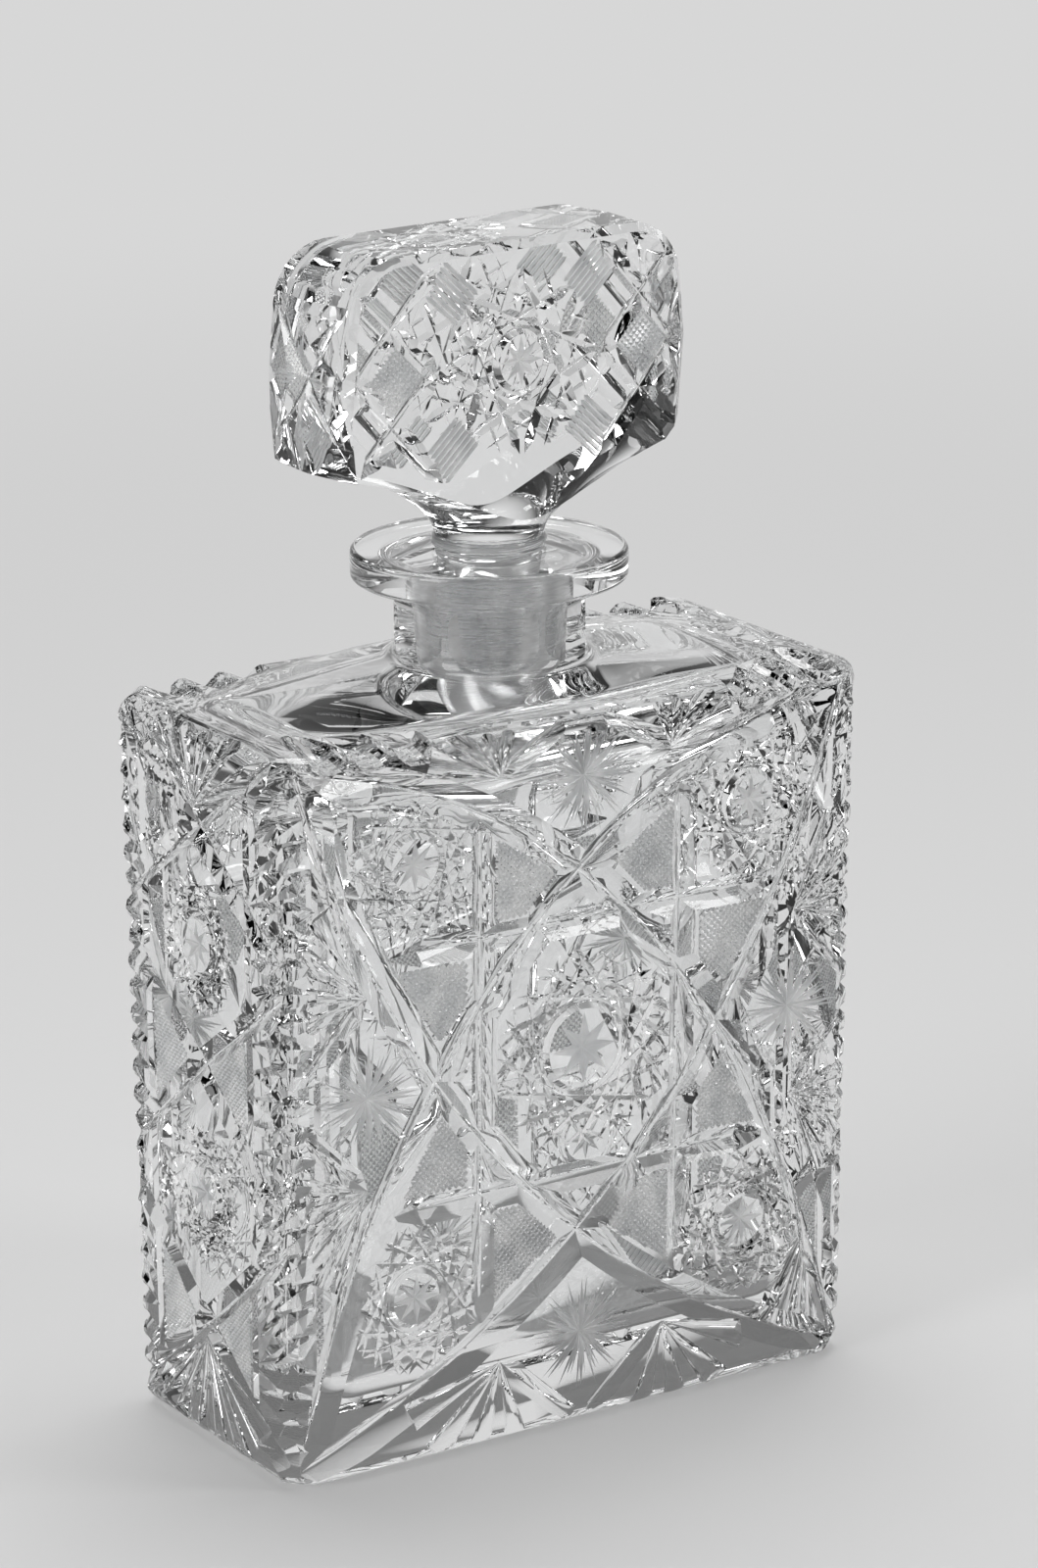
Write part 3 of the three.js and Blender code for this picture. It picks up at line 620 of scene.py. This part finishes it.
def turned(name, profile, finish):
    """Solid of revolution from a profile of (radius, height) that starts and ends on the axis."""
    bm = bmesh.new()
    verts = [bm.verts.new((radius, 0, height)) for radius, height in profile]
    edges = [bm.edges.new(pair) for pair in zip(verts, verts[1:])]
    bmesh.ops.spin(bm, geom=verts + edges, axis=(0, 0, 1), cent=(0, 0, 0), angle=2 * pi,
                   steps=TURNED_STEPS, use_merge=True)
    bmesh.ops.remove_doubles(bm, verts=bm.verts, dist=SLIVER)
    return as_object(name, bm, finish)


def quarter(centre, radius, start, end, steps=ROUND_STEPS):
    """Arc of a profile between two angles in degrees."""
    points = []
    for i in range(steps + 1):
        angle = radians(start + (end - start) * i / steps)
        points.append((centre[0] + radius * cos(angle), centre[1] + radius * sin(angle)))
    return points


def plug_radius(height):
    return PLUG_TOP_RADIUS - (LIP_TOP - height) * GROUND_TAPER / 2


def shoulder():
    """Low rise, round at the neck and drawn out to an oval that fits the block at its foot."""
    foot = NECK_RADIUS + NECK_FILLET
    rim = BODY_DEPTH / 2 - SHOULDER_INSET
    third = (rim - foot) / 3
    rise = NECK_FOOT - BODY_HEIGHT
    bottom = BODY_HEIGHT - EDGE_ROUND
    curve = bezier_profile(((rim, BODY_HEIGHT), (rim - third, BODY_HEIGHT),
                            (foot + third, NECK_FOOT - rise / 4), (foot, NECK_FOOT)), SHOULDER_STEPS)
    piece = turned("shoulder", [(0, bottom), (rim, bottom), *curve, (0, NECK_FOOT)], CRYSTAL)
    stretch = (BODY_WIDTH / 2 - EDGE_ROUND) / rim
    for vert in piece.data.vertices:
        vert.co.x *= 1 + min(1.0, (NECK_FOOT - vert.co.z) / rise) * (stretch - 1)
    return piece


def neck_and_lip():
    low = BODY_HEIGHT - EDGE_ROUND
    lip_bottom = LIP_TOP - LIP_THICKNESS
    inner = NECK_RADIUS + NECK_FILLET
    edge = LIP_RADIUS - LIP_ROUND
    profile = [(0, low), (inner, low),
               *quarter((inner, NECK_FOOT + NECK_FILLET), NECK_FILLET, 270, 180),
               *quarter((inner, lip_bottom - NECK_FILLET), NECK_FILLET, 180, 90),
               *quarter((edge, lip_bottom + LIP_ROUND), LIP_ROUND, -90, 0),
               *quarter((edge, LIP_TOP - LIP_ROUND), LIP_ROUND, 0, 90), (0, LIP_TOP)]
    return turned("upper", profile, CRYSTAL)


def neck_panels():
    """Blocks that grind the neck flat, each running out in a scallop below and above."""
    flat = NECK_RADIUS - PANEL_CUT
    run = NECK_FILLET + PANEL_CUT
    low = NECK_FOOT + PANEL_END_GAP
    high = LIP_TOP - LIP_THICKNESS - PANEL_END_GAP
    depth = LIP_RADIUS - flat
    panels = []
    for i in range(NECK_PANELS):
        bm = bmesh.new()
        matrix = Matrix.Translation((0, -flat - depth / 2, (low + high) / 2))
        matrix = matrix @ Matrix.Diagonal((2 * NECK_RADIUS, depth, high - low, 1))
        bmesh.ops.create_cube(bm, size=1, matrix=matrix)
        inner = [edge for edge in bm.edges
                 if all(vert.co.y > -flat - SIDE_LENGTH for vert in edge.verts)
                 and extent(edge).x > SIDE_LENGTH]
        bmesh.ops.bevel(bm, geom=inner, offset=run, segments=PANEL_STEPS, profile=0.5,
                        affect="EDGES", material=-1)
        turn = Matrix.Rotation((i + 0.5) * 2 * pi / NECK_PANELS, 3, "Z")
        bmesh.ops.rotate(bm, cent=(0, 0, 0), matrix=turn, verts=bm.verts)
        panels.append(as_object("panel", bm, CRYSTAL))
    return panels


def triangulate(bm):
    bmesh.ops.triangulate(bm, faces=bm.faces, quad_method="BEAUTY", ngon_method="BEAUTY")


def draw_in(piece):
    """Draws the bottle in towards its base, in triangles, which stay flat."""
    bm = bmesh.new()
    bm.from_mesh(piece.data)
    triangulate(bm)
    bm.to_mesh(piece.data)
    bm.free()
    for vert in piece.data.vertices:
        below = max(0.0, 1 - vert.co.z / BODY_HEIGHT)
        vert.co.x *= 1 - below * (1 - BASE_WIDTH_SHARE)
        vert.co.y *= 1 - below * (1 - BASE_DEPTH_SHARE)


def clear_strays(bm):
    """Takes away pairs of faces folded onto each other, and faces that hang by one edge."""
    same = {}
    for face in bm.faces:
        same.setdefault(frozenset(face.verts), []).append(face)
    folded = [face for faces in same.values() if len(faces) > 1 for face in faces]
    bmesh.ops.delete(bm, geom=folded, context="FACES")
    hanging = [face for face in bm.faces if any(edge.is_boundary for edge in face.edges)]
    bmesh.ops.delete(bm, geom=hanging, context="FACES")


def finish_mesh(piece, name):
    """Clears slivers, marks the sharp edges and sets the piece down in metres."""
    piece.name = name
    bm = bmesh.new()
    bm.from_mesh(piece.data)
    triangulate(bm)
    bmesh.ops.dissolve_degenerate(bm, dist=SLIVER, edges=bm.edges)
    triangulate(bm)
    clear_strays(bm)
    for face in bm.faces:
        face.smooth = True
    for edge in bm.edges:
        matt = any(piece.data.materials[face.material_index] is GROUND for face in edge.link_faces)
        edge.smooth = edge.calc_face_angle(0) < (MATT_CREASE if matt else CREASE)
    bmesh.ops.scale(bm, vec=(MM, MM, MM), verts=bm.verts)
    bm.to_mesh(piece.data)
    bm.free()


def bore(low):
    """Tapered ground bore, open at the lip."""
    high = LIP_TOP + PAST
    profile = [(0, low), (plug_radius(low) + GROUND_CLEARANCE, low),
               (plug_radius(high) + GROUND_CLEARANCE, high), (0, high)]
    return turned("bore", profile, GROUND_BORE)


def decanter_body():
    body = rounded_block("body", (BODY_WIDTH, BODY_DEPTH, BODY_HEIGHT), 0, CORNER_CHAMFER, 1, EDGE_ROUND)
    combine(body, body_tools().objects(), "DIFFERENCE")
    combine(body, [shoulder()], "UNION")
    top = BODY_HEIGHT - SHOULDER_THICKNESS
    inside = (BODY_WIDTH - 2 * SIDE_WALL, BODY_DEPTH - 2 * FACE_WALL, top - BASE_THICKNESS)
    room = rounded_block("room", inside, BASE_THICKNESS, HOLLOW_ROUND, HOLLOW_CORNER_STEPS, HOLLOW_ROUND)
    combine(body, [room], "DIFFERENCE")
    draw_in(body)
    upper = neck_and_lip()
    combine(upper, neck_panels(), "DIFFERENCE")
    combine(body, [upper], "UNION")
    combine(body, [bore(top - HOLLOW_ROUND)], "DIFFERENCE")
    finish_mesh(body, "cut_bottle")
    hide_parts("decanter_body")
    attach(body, "decanter")


# Cut pattern of the stopper's head, places from the middle of its star
HEAD_LATTICE = (((19.0, 21.5), (39.5, -1.0)), ((38.5, 18.0), (19.5, -1.0)))
HEAD_PATCH = (16.8, 15.2)
HEAD_PATCH_LENGTH = 11.0
HEAD_PATCH_WIDTH = 9.0
HEAD_PATCH_PITCH = 1.2
HEAD_PANEL = ((23.2, 0), (30.2, 7.6), (37.0, 0), (30.2, -7.6))
END_CROSS_REACH = 17
END_PANEL = ((-5, 14), (0, 8), (5, 14), (0, 20))


def head_patch(tools, place, side, up):
    """Small field of fine grooves that point at the star."""
    centre = Vector((side * HEAD_PATCH[0], HEAD_STAR_V + up * HEAD_PATCH[1]))
    lean = atan2(up * HEAD_PATCH[1], side * HEAD_PATCH[0])
    along = Vector((cos(lean), sin(lean))) * HEAD_PATCH_LENGTH / 2
    across = Vector((-sin(lean), cos(lean))) * HEAD_PATCH_WIDTH / 2
    corners = [centre + along + across, centre + along - across,
               centre - along - across, centre - along + across]
    layer = tools.layer("head_groove", GROUND)
    rule_lines(layer, place, corners, lean, HEAD_PATCH_PITCH, GROOVE, GROOVE_TIP)


def head_face(tools, place):
    for side in (-1, 1):
        for up in (-1, 1):
            for i, ends in enumerate(HEAD_LATTICE):
                start, end = [(side * u, HEAD_STAR_V + up * v) for u, v in ends]
                layer = tools.layer("head_lattice_%d_%d" % (i, up), CRYSTAL)
                mitre(layer, place, start, end, KITE, KITE_TIP, KEEL)
            head_patch(tools, place, side, up)
        hatch(tools, place, [(side * u, HEAD_STAR_V + v) for u, v in HEAD_PANEL])
    hobstar(tools, place, (0, HEAD_STAR_V), HEAD_HOBSTAR)


def head_end(tools, place):
    for side in (-1, 1):
        foot, top = [(side * up * HEAD_DEPTH / 2, HEAD_STAR_V + up * END_CROSS_REACH) for up in (-1, 1)]
        mitre(tools.layer("end_cross_%d" % side, CRYSTAL), place, foot, top, KITE, END_CROSS_TIP, KEEL)
    frost_star(tools, place, (0, HEAD_STAR_V), HEAD_FROST_RADIUS)
    for up in (-1, 1):
        hatch(tools, place, [(u, HEAD_STAR_V + up * v) for u, v in END_PANEL])


def keep_inside(bm, spot, normal):
    """Grinds a solid flat along a plane."""
    cut = bmesh.ops.bisect_plane(bm, geom=[*bm.verts, *bm.edges, *bm.faces], plane_co=spot,
                                 plane_no=normal, clear_outer=True)
    edges = [item for item in cut["geom_cut"] if isinstance(item, bmesh.types.BMEdge)]
    bmesh.ops.contextual_create(bm, geom=edges)


def head_blank():
    """Slab of the head: ends ground to a low point, upper corners rounded, a lower one taken off."""
    bm = bmesh.new()
    matrix = Matrix.Translation((0, 0, (LIP_TOP + HEAD_TOP) / 2))
    matrix = matrix @ Matrix.Diagonal((HEAD_WIDTH, HEAD_DEPTH, HEAD_TOP - LIP_TOP, 1))
    bmesh.ops.create_cube(bm, size=1, matrix=matrix)
    lean = HEAD_END_POINT / (HEAD_DEPTH / 2)
    slope = HEAD_END_SLOPE / (HEAD_TOP - HEAD_STAR_V)
    for side in (-1, 1):
        for up in (-1, 1):
            for front in (-1, 1):
                point = (side * HEAD_WIDTH / 2, 0, HEAD_STAR_V)
                keep_inside(bm, point, (side, lean * front, slope * up))
    centre = Vector((HEAD_WIDTH / 2 - HEAD_FOOT_ROUND, 0, HEAD_FOOT_HEIGHT))
    for angle in HEAD_FOOT_FACETS:
        out = Vector((cos(angle), 0, -sin(angle)))
        keep_inside(bm, centre + out * HEAD_FOOT_ROUND, out)
    top_edges = [edge for edge in bm.edges
                 if all(vert.co.z > HEAD_TOP - TOUCH for vert in edge.verts)
                 and extent(edge).y > SIDE_LENGTH]
    bmesh.ops.bevel(bm, geom=top_edges, offset=HEAD_TOP_ROUND, segments=HEAD_ROUND_STEPS, profile=0.5,
                    affect="EDGES", material=-1)
    rim = [edge for edge in bm.edges if len(edge.link_faces) == 2 and edge.calc_face_angle() > RIM_ANGLE
           and all(abs(vert.co.y) > HEAD_DEPTH / 2 - TOUCH and vert.co.z > LIP_TOP + SIDE_LENGTH
                   for vert in edge.verts)]
    bmesh.ops.bevel(bm, geom=rim, offset=HEAD_EDGE_BEVEL, segments=1, profile=0.5,
                    affect="EDGES", material=-1)
    return as_object("head", bm, CRYSTAL)


def head_flare():
    """What the slab is kept inside: narrow at the stem, wider than the slab from its rim up."""
    reach = hypot(HEAD_WIDTH, HEAD_DEPTH) / 2 + PAST
    start = LIP_TOP + COLLAR_HEIGHT
    high = HEAD_TOP + PAST
    rise = HEAD_RIM - start
    curve = bezier_profile(((STEM_RADIUS, start), (STEM_RADIUS + FLARE_START, start + rise / 3),
                            (reach / 2, HEAD_RIM - rise / 4), (reach, HEAD_RIM)), FLARE_STEPS)
    return turned("flare", [(0, start), *curve, (reach, high), (0, high)], CRYSTAL)


def collar():
    seat = LIP_TOP + COLLAR_SEAT_GAP
    top = LIP_TOP + COLLAR_HEIGHT
    inner = COLLAR_RADIUS - COLLAR_ROUND
    profile = [(0, seat - PAST), (COLLAR_CORE, seat - PAST), (COLLAR_CORE, seat),
               *quarter((inner, seat + COLLAR_ROUND), COLLAR_ROUND, -90, 0, COLLAR_STEPS),
               *quarter((inner, top - COLLAR_ROUND), COLLAR_ROUND, 0, 90, COLLAR_STEPS),
               (STEM_RADIUS - COLLAR_ROUND, top + COLLAR_ROUND), (0, top + COLLAR_ROUND)]
    return turned("collar", profile, CRYSTAL)


def plug():
    seat = LIP_TOP + COLLAR_SEAT_GAP
    low_radius = plug_radius(PLUG_BOTTOM)
    profile = [(0, PLUG_BOTTOM), (low_radius - PLUG_CHAMFER, PLUG_BOTTOM),
               (low_radius, PLUG_BOTTOM + PLUG_CHAMFER), (plug_radius(seat), seat), (0, seat)]
    return turned("plug", profile, GROUND_BORE)


def stopper():
    head = head_blank()
    tools = Tools()
    for turn in (0, 180):
        head_face(tools, on_face(turn, HEAD_DEPTH / 2))
        head_end(tools, on_face(turn + 90, HEAD_WIDTH / 2 - HEAD_END_POINT / 2))
    combine(head, tools.objects(), "DIFFERENCE")
    head.data.transform(Matrix.Translation((HEAD_SHIFT, 0, 0)))
    combine(head, [head_flare()], "INTERSECT")
    combine(head, [collar(), plug()], "UNION")
    head.data.transform(Matrix.Rotation(HEAD_TURN, 4, "Z"))
    finish_mesh(head, "cut_stopper")
    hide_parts("stopper")
    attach(head, "stopper")


class Wire:
    """A node socket that takes part in Python arithmetic."""

    def __init__(self, tree, socket):
        self.tree = tree
        self.socket = socket

    def math(self, operation, other):
        return add_node(self.tree, "ShaderNodeMath", {"operation": operation}, {0: self, 1: other})

    def __add__(self, other):
        return self.math("ADD", other)

    def __mul__(self, other):
        return self.math("MULTIPLY", other)

    __radd__ = __add__
    __rmul__ = __mul__


def add_node(tree, kind, settings=None, inputs=None, output=0):
    """Makes a node, sets its settings first and then its sockets, and gives one of its outputs."""
    node = tree.nodes.new(kind)
    for name, value in (settings or {}).items():
        setattr(node, name, value)
    for name, value in (inputs or {}).items():
        if isinstance(value, Wire):
            tree.links.new(value.socket, node.inputs[name])
        else:
            node.inputs[name].default_value = value
    return Wire(tree, node.outputs[output])


def feed(tree, surface, name, wire):
    tree.links.new(wire.socket, surface.inputs[name])


# Glass
GLASS_IOR = 1.545
CRYSTAL_TINT = (0.985, 0.99, 0.992, 1)
GROUND_TINT = (0.93, 0.94, 0.945, 1)
GROUND_DULL = (0.7, 0.71, 0.72, 1)
GROUND_BRIGHT = (1, 1, 1, 1)
RIPPLE_SCALE = 90.0
RIPPLE_STRENGTH = 0.06
RIPPLE_HEIGHT = 0.0003
HAZE_SCALE = 45.0
HAZE = 0.008
TOOTH_SCALE = 900.0
TOOTH_STRENGTH = 0.4
TOOTH_HEIGHT = 0.0001
TOOTH_ROUGHNESS = 0.2
STREAK_SCALE = 160.0
STREAK_LOW = 0.38
STREAK_HIGH = 0.62
# Sockets of a colour Mix node, which share their names with its other types
MIX_FACTOR, MIX_A, MIX_B = 0, 6, 7
MIX_COLOUR = 2


def glass(name, colour, clear):
    material = bpy.data.materials.new(name)
    material.use_nodes = True
    surface = material.node_tree.nodes["Principled BSDF"]
    surface.inputs["Transmission Weight"].default_value = clear
    surface.inputs["IOR"].default_value = GLASS_IOR
    surface.inputs["Base Color"].default_value = colour
    return material, material.node_tree, surface


def crystal():
    """Polished lead crystal: faint ripple from the polishing, and a trace of haze."""
    material, tree, surface = glass("polished_crystal", CRYSTAL_TINT, 1.0)
    place = add_node(tree, "ShaderNodeTexCoord", output="Object")
    ripple = add_node(tree, "ShaderNodeTexNoise", None,
                      {"Vector": place, "Scale": RIPPLE_SCALE, "Detail": 1.0})
    haze = add_node(tree, "ShaderNodeTexNoise", None,
                    {"Vector": place, "Scale": HAZE_SCALE, "Detail": 4.0})
    bump = add_node(tree, "ShaderNodeBump", None,
                    {"Strength": RIPPLE_STRENGTH, "Distance": RIPPLE_HEIGHT, "Height": ripple})
    feed(tree, surface, "Roughness", haze * HAZE)
    feed(tree, surface, "Normal", bump)
    return material


def ground(name, roughness, clear, tooth_stretch, streak_stretch):
    """Matt ground glass with the fine tooth of the wheel, and duller and brighter streaks."""
    material, tree, surface = glass(name, GROUND_TINT, clear)
    place = add_node(tree, "ShaderNodeTexCoord", output="Object")
    grain = add_node(tree, "ShaderNodeMapping", None, {"Vector": place, "Scale": tooth_stretch})
    tooth = add_node(tree, "ShaderNodeTexNoise", None,
                     {"Vector": grain, "Scale": TOOTH_SCALE, "Detail": 3.0})
    lay = add_node(tree, "ShaderNodeMapping", None, {"Vector": place, "Scale": streak_stretch})
    streak = add_node(tree, "ShaderNodeTexNoise", None,
                      {"Vector": lay, "Scale": STREAK_SCALE, "Detail": 3.0})
    band = add_node(tree, "ShaderNodeMapRange", None,
                    {"Value": streak, "From Min": STREAK_LOW, "From Max": STREAK_HIGH})
    shade = add_node(tree, "ShaderNodeMix", {"data_type": "RGBA"},
                     {MIX_FACTOR: band, MIX_A: GROUND_DULL, MIX_B: GROUND_BRIGHT}, MIX_COLOUR)
    bump = add_node(tree, "ShaderNodeBump", None,
                    {"Strength": TOOTH_STRENGTH, "Distance": TOOTH_HEIGHT, "Height": tooth})
    feed(tree, surface, "Base Color", shade)
    feed(tree, surface, "Roughness", tooth * TOOTH_ROUGHNESS + (roughness - TOOTH_ROUGHNESS / 2))
    feed(tree, surface, "Normal", bump)
    return material


CRYSTAL = crystal()
GROUND = ground("ground_cuts", roughness=0.42, clear=0.6, tooth_stretch=(1, 1, 1),
                streak_stretch=(1, 1, 1))
# In the neck the tooth runs round and the streaks run up
GROUND_BORE = ground("ground_neck", roughness=0.27, clear=0.6, tooth_stretch=(0.15, 0.15, 2.5),
                     streak_stretch=(1, 1, 0.05))

# Camera: where the photograph was taken from
CAMERA_AZIMUTH = radians(-32.8)
CAMERA_ELEVATION = radians(16.62)
CAMERA_ROLL = radians(-0.38)
CAMERA_AIM = (0.0056, 0.1215)
CAMERA_DISTANCE = 1.1278
CAMERA_LENS = 125.4
SENSOR_HEIGHT = 36

# Floor: lit near the object, where its shadow lies, with a FLOOR_GLOW share of painted glow that lightens
# the shadow, and evenly pale from FLOOR_FAR outwards
FLOOR_HALF = 6
FLOOR_COLOUR = (0.68, 0.68, 0.68, 1)
FLOOR_ROUGHNESS = 0.6
FLOOR_GLOW = 0.35
FLOOR_NEAR = 0.15
FLOOR_FAR = 1.3

# Strength of the pale floor and of the pale backdrop beside the object and behind it
FLOOR_BESIDE, FLOOR_BEHIND = 0.1, 1.0
BACKDROP_BESIDE, BACKDROP_BEHIND = 0.04, 0.75
FACING_LOW, FACING_HIGH = 0.55, 0.95
FADE_LOW, FADE_HIGH = 0.4, 0.85
OVERHEAD = 0.08

# Soft lamps: place and size in metres, power in watts
Lamp = namedtuple("Lamp", "place size power")
LAMPS = {"top": Lamp((0.2, 0.3, 1.4), (1.0, 0.8), 16),
         "left": Lamp((-1.3, -0.2, 0.7), (0.5, 1.1), 9),
         "right": Lamp((1.0, -0.9, 0.8), (0.35, 1.0), 6)}
LAMP_TARGET = Vector((0, 0, 0.1))


def camera():
    level = cos(CAMERA_ELEVATION)
    back = Vector((sin(CAMERA_AZIMUTH) * level, -cos(CAMERA_AZIMUTH) * level, sin(CAMERA_ELEVATION)))
    right = Vector((cos(CAMERA_AZIMUTH), sin(CAMERA_AZIMUTH), 0))
    up = back.cross(right)
    data = bpy.data.cameras.new("camera")
    data.sensor_fit = "VERTICAL"
    data.sensor_height = SENSOR_HEIGHT
    data.lens = CAMERA_LENS
    eye = bpy.data.objects.new("camera", data)
    bpy.context.scene.collection.objects.link(eye)
    matrix = Matrix((right, up, back)).transposed().to_4x4()
    matrix.translation = right * CAMERA_AIM[0] + up * CAMERA_AIM[1] + back * CAMERA_DISTANCE
    eye.matrix_world = matrix @ Matrix.Rotation(CAMERA_ROLL, 4, "Z")
    bpy.context.scene.camera = eye


def behind_object(tree, heading, beside, behind):
    """A strength that is highest in front of and behind the object, and lowest at its sides."""
    away = (-sin(CAMERA_AZIMUTH), cos(CAMERA_AZIMUTH), 0)
    facing = add_node(tree, "ShaderNodeVectorMath", {"operation": "DOT_PRODUCT"},
                      {0: heading, 1: away}, "Value")
    return add_node(tree, "ShaderNodeMapRange", None,
                    {"Value": facing * facing, "From Min": FACING_LOW, "From Max": FACING_HIGH,
                     "To Min": beside, "To Max": behind})


def floor():
    """Pale floor that keeps the shadow near the object, lightened by a share of painted glow, and stays
    evenly pale far from it; seen in the object it glows in full under it too, painted light where the
    shadow lies.
    """
    bm = bmesh.new()
    bmesh.ops.create_grid(bm, x_segments=1, y_segments=1, size=FLOOR_HALF)
    material = bpy.data.materials.new("floor")
    material.use_nodes = True
    tree = material.node_tree
    surface = tree.nodes["Principled BSDF"]
    surface.inputs["Base Color"].default_value = FLOOR_COLOUR
    surface.inputs["Roughness"].default_value = FLOOR_ROUGHNESS
    place = add_node(tree, "ShaderNodeTexCoord", output="Object")
    away = add_node(tree, "ShaderNodeVectorMath", {"operation": "LENGTH"}, {0: place}, "Value")
    heading = add_node(tree, "ShaderNodeVectorMath", {"operation": "NORMALIZE"}, {0: place})
    far = add_node(tree, "ShaderNodeMapRange", {"interpolation_type": "SMOOTHSTEP"},
                   {"Value": away, "From Min": FLOOR_NEAR, "From Max": FLOOR_FAR,
                    "To Min": FLOOR_GLOW, "To Max": 1.0})
    rays = ("Is Camera Ray", "Is Glossy Ray", "Is Transmission Ray")
    camera_ray, glossy_ray, glass_ray = [add_node(tree, "ShaderNodeLightPath", output=ray) for ray in rays]
    # Glossy and glass rays see the floor glow in front of and behind the object without its shadow:
    # painted light under the object in place of the light the glass brings there
    seen_in_object = (glossy_ray + glass_ray) * behind_object(tree, heading, FLOOR_BESIDE, FLOOR_BEHIND)
    glow = add_node(tree, "ShaderNodeEmission", None, {"Color": FLOOR_COLOUR, "Strength": 1.0})
    lit = Wire(tree, surface.outputs[0])
    mixed = add_node(tree, "ShaderNodeMixShader", None,
                     {0: camera_ray * far + seen_in_object, 1: lit, 2: glow})
    feed(tree, tree.nodes["Material Output"], "Surface", mixed)
    piece = as_object("floor", bm, material)


def backdrop():
    """Pale behind the object, dimmer at its sides and overhead, for the facets to show."""
    sky = bpy.data.worlds.new("backdrop")
    bpy.context.scene.world = sky
    sky.use_nodes = True
    tree = sky.node_tree
    place = add_node(tree, "ShaderNodeTexCoord", output="Generated")
    height = add_node(tree, "ShaderNodeSeparateXYZ", None, {"Vector": place}, "Z")
    fade = add_node(tree, "ShaderNodeMapRange", None,
                    {"Value": height, "From Min": FADE_LOW, "From Max": FADE_HIGH,
                     "To Min": 1.0, "To Max": OVERHEAD})
    strength = behind_object(tree, place, BACKDROP_BESIDE, BACKDROP_BEHIND) * fade
    feed(tree, tree.nodes["Background"], "Color", strength)


def soft_lamp(name, lamp):
    data = bpy.data.lights.new(name, "AREA")
    data.shape = "RECTANGLE"
    data.size, data.size_y = lamp.size
    data.energy = lamp.power
    light = bpy.data.objects.new(name, data)
    bpy.context.scene.collection.objects.link(light)
    light.location = lamp.place
    light.rotation_euler = (LAMP_TARGET - Vector(lamp.place)).to_track_quat("-Z", "Y").to_euler()


bpy.context.scene.view_settings.view_transform = "Standard"
camera()
floor()
backdrop()
for lamp_name, lamp_facts in LAMPS.items():
    soft_lamp(lamp_name, lamp_facts)
decanter_body()
stopper()
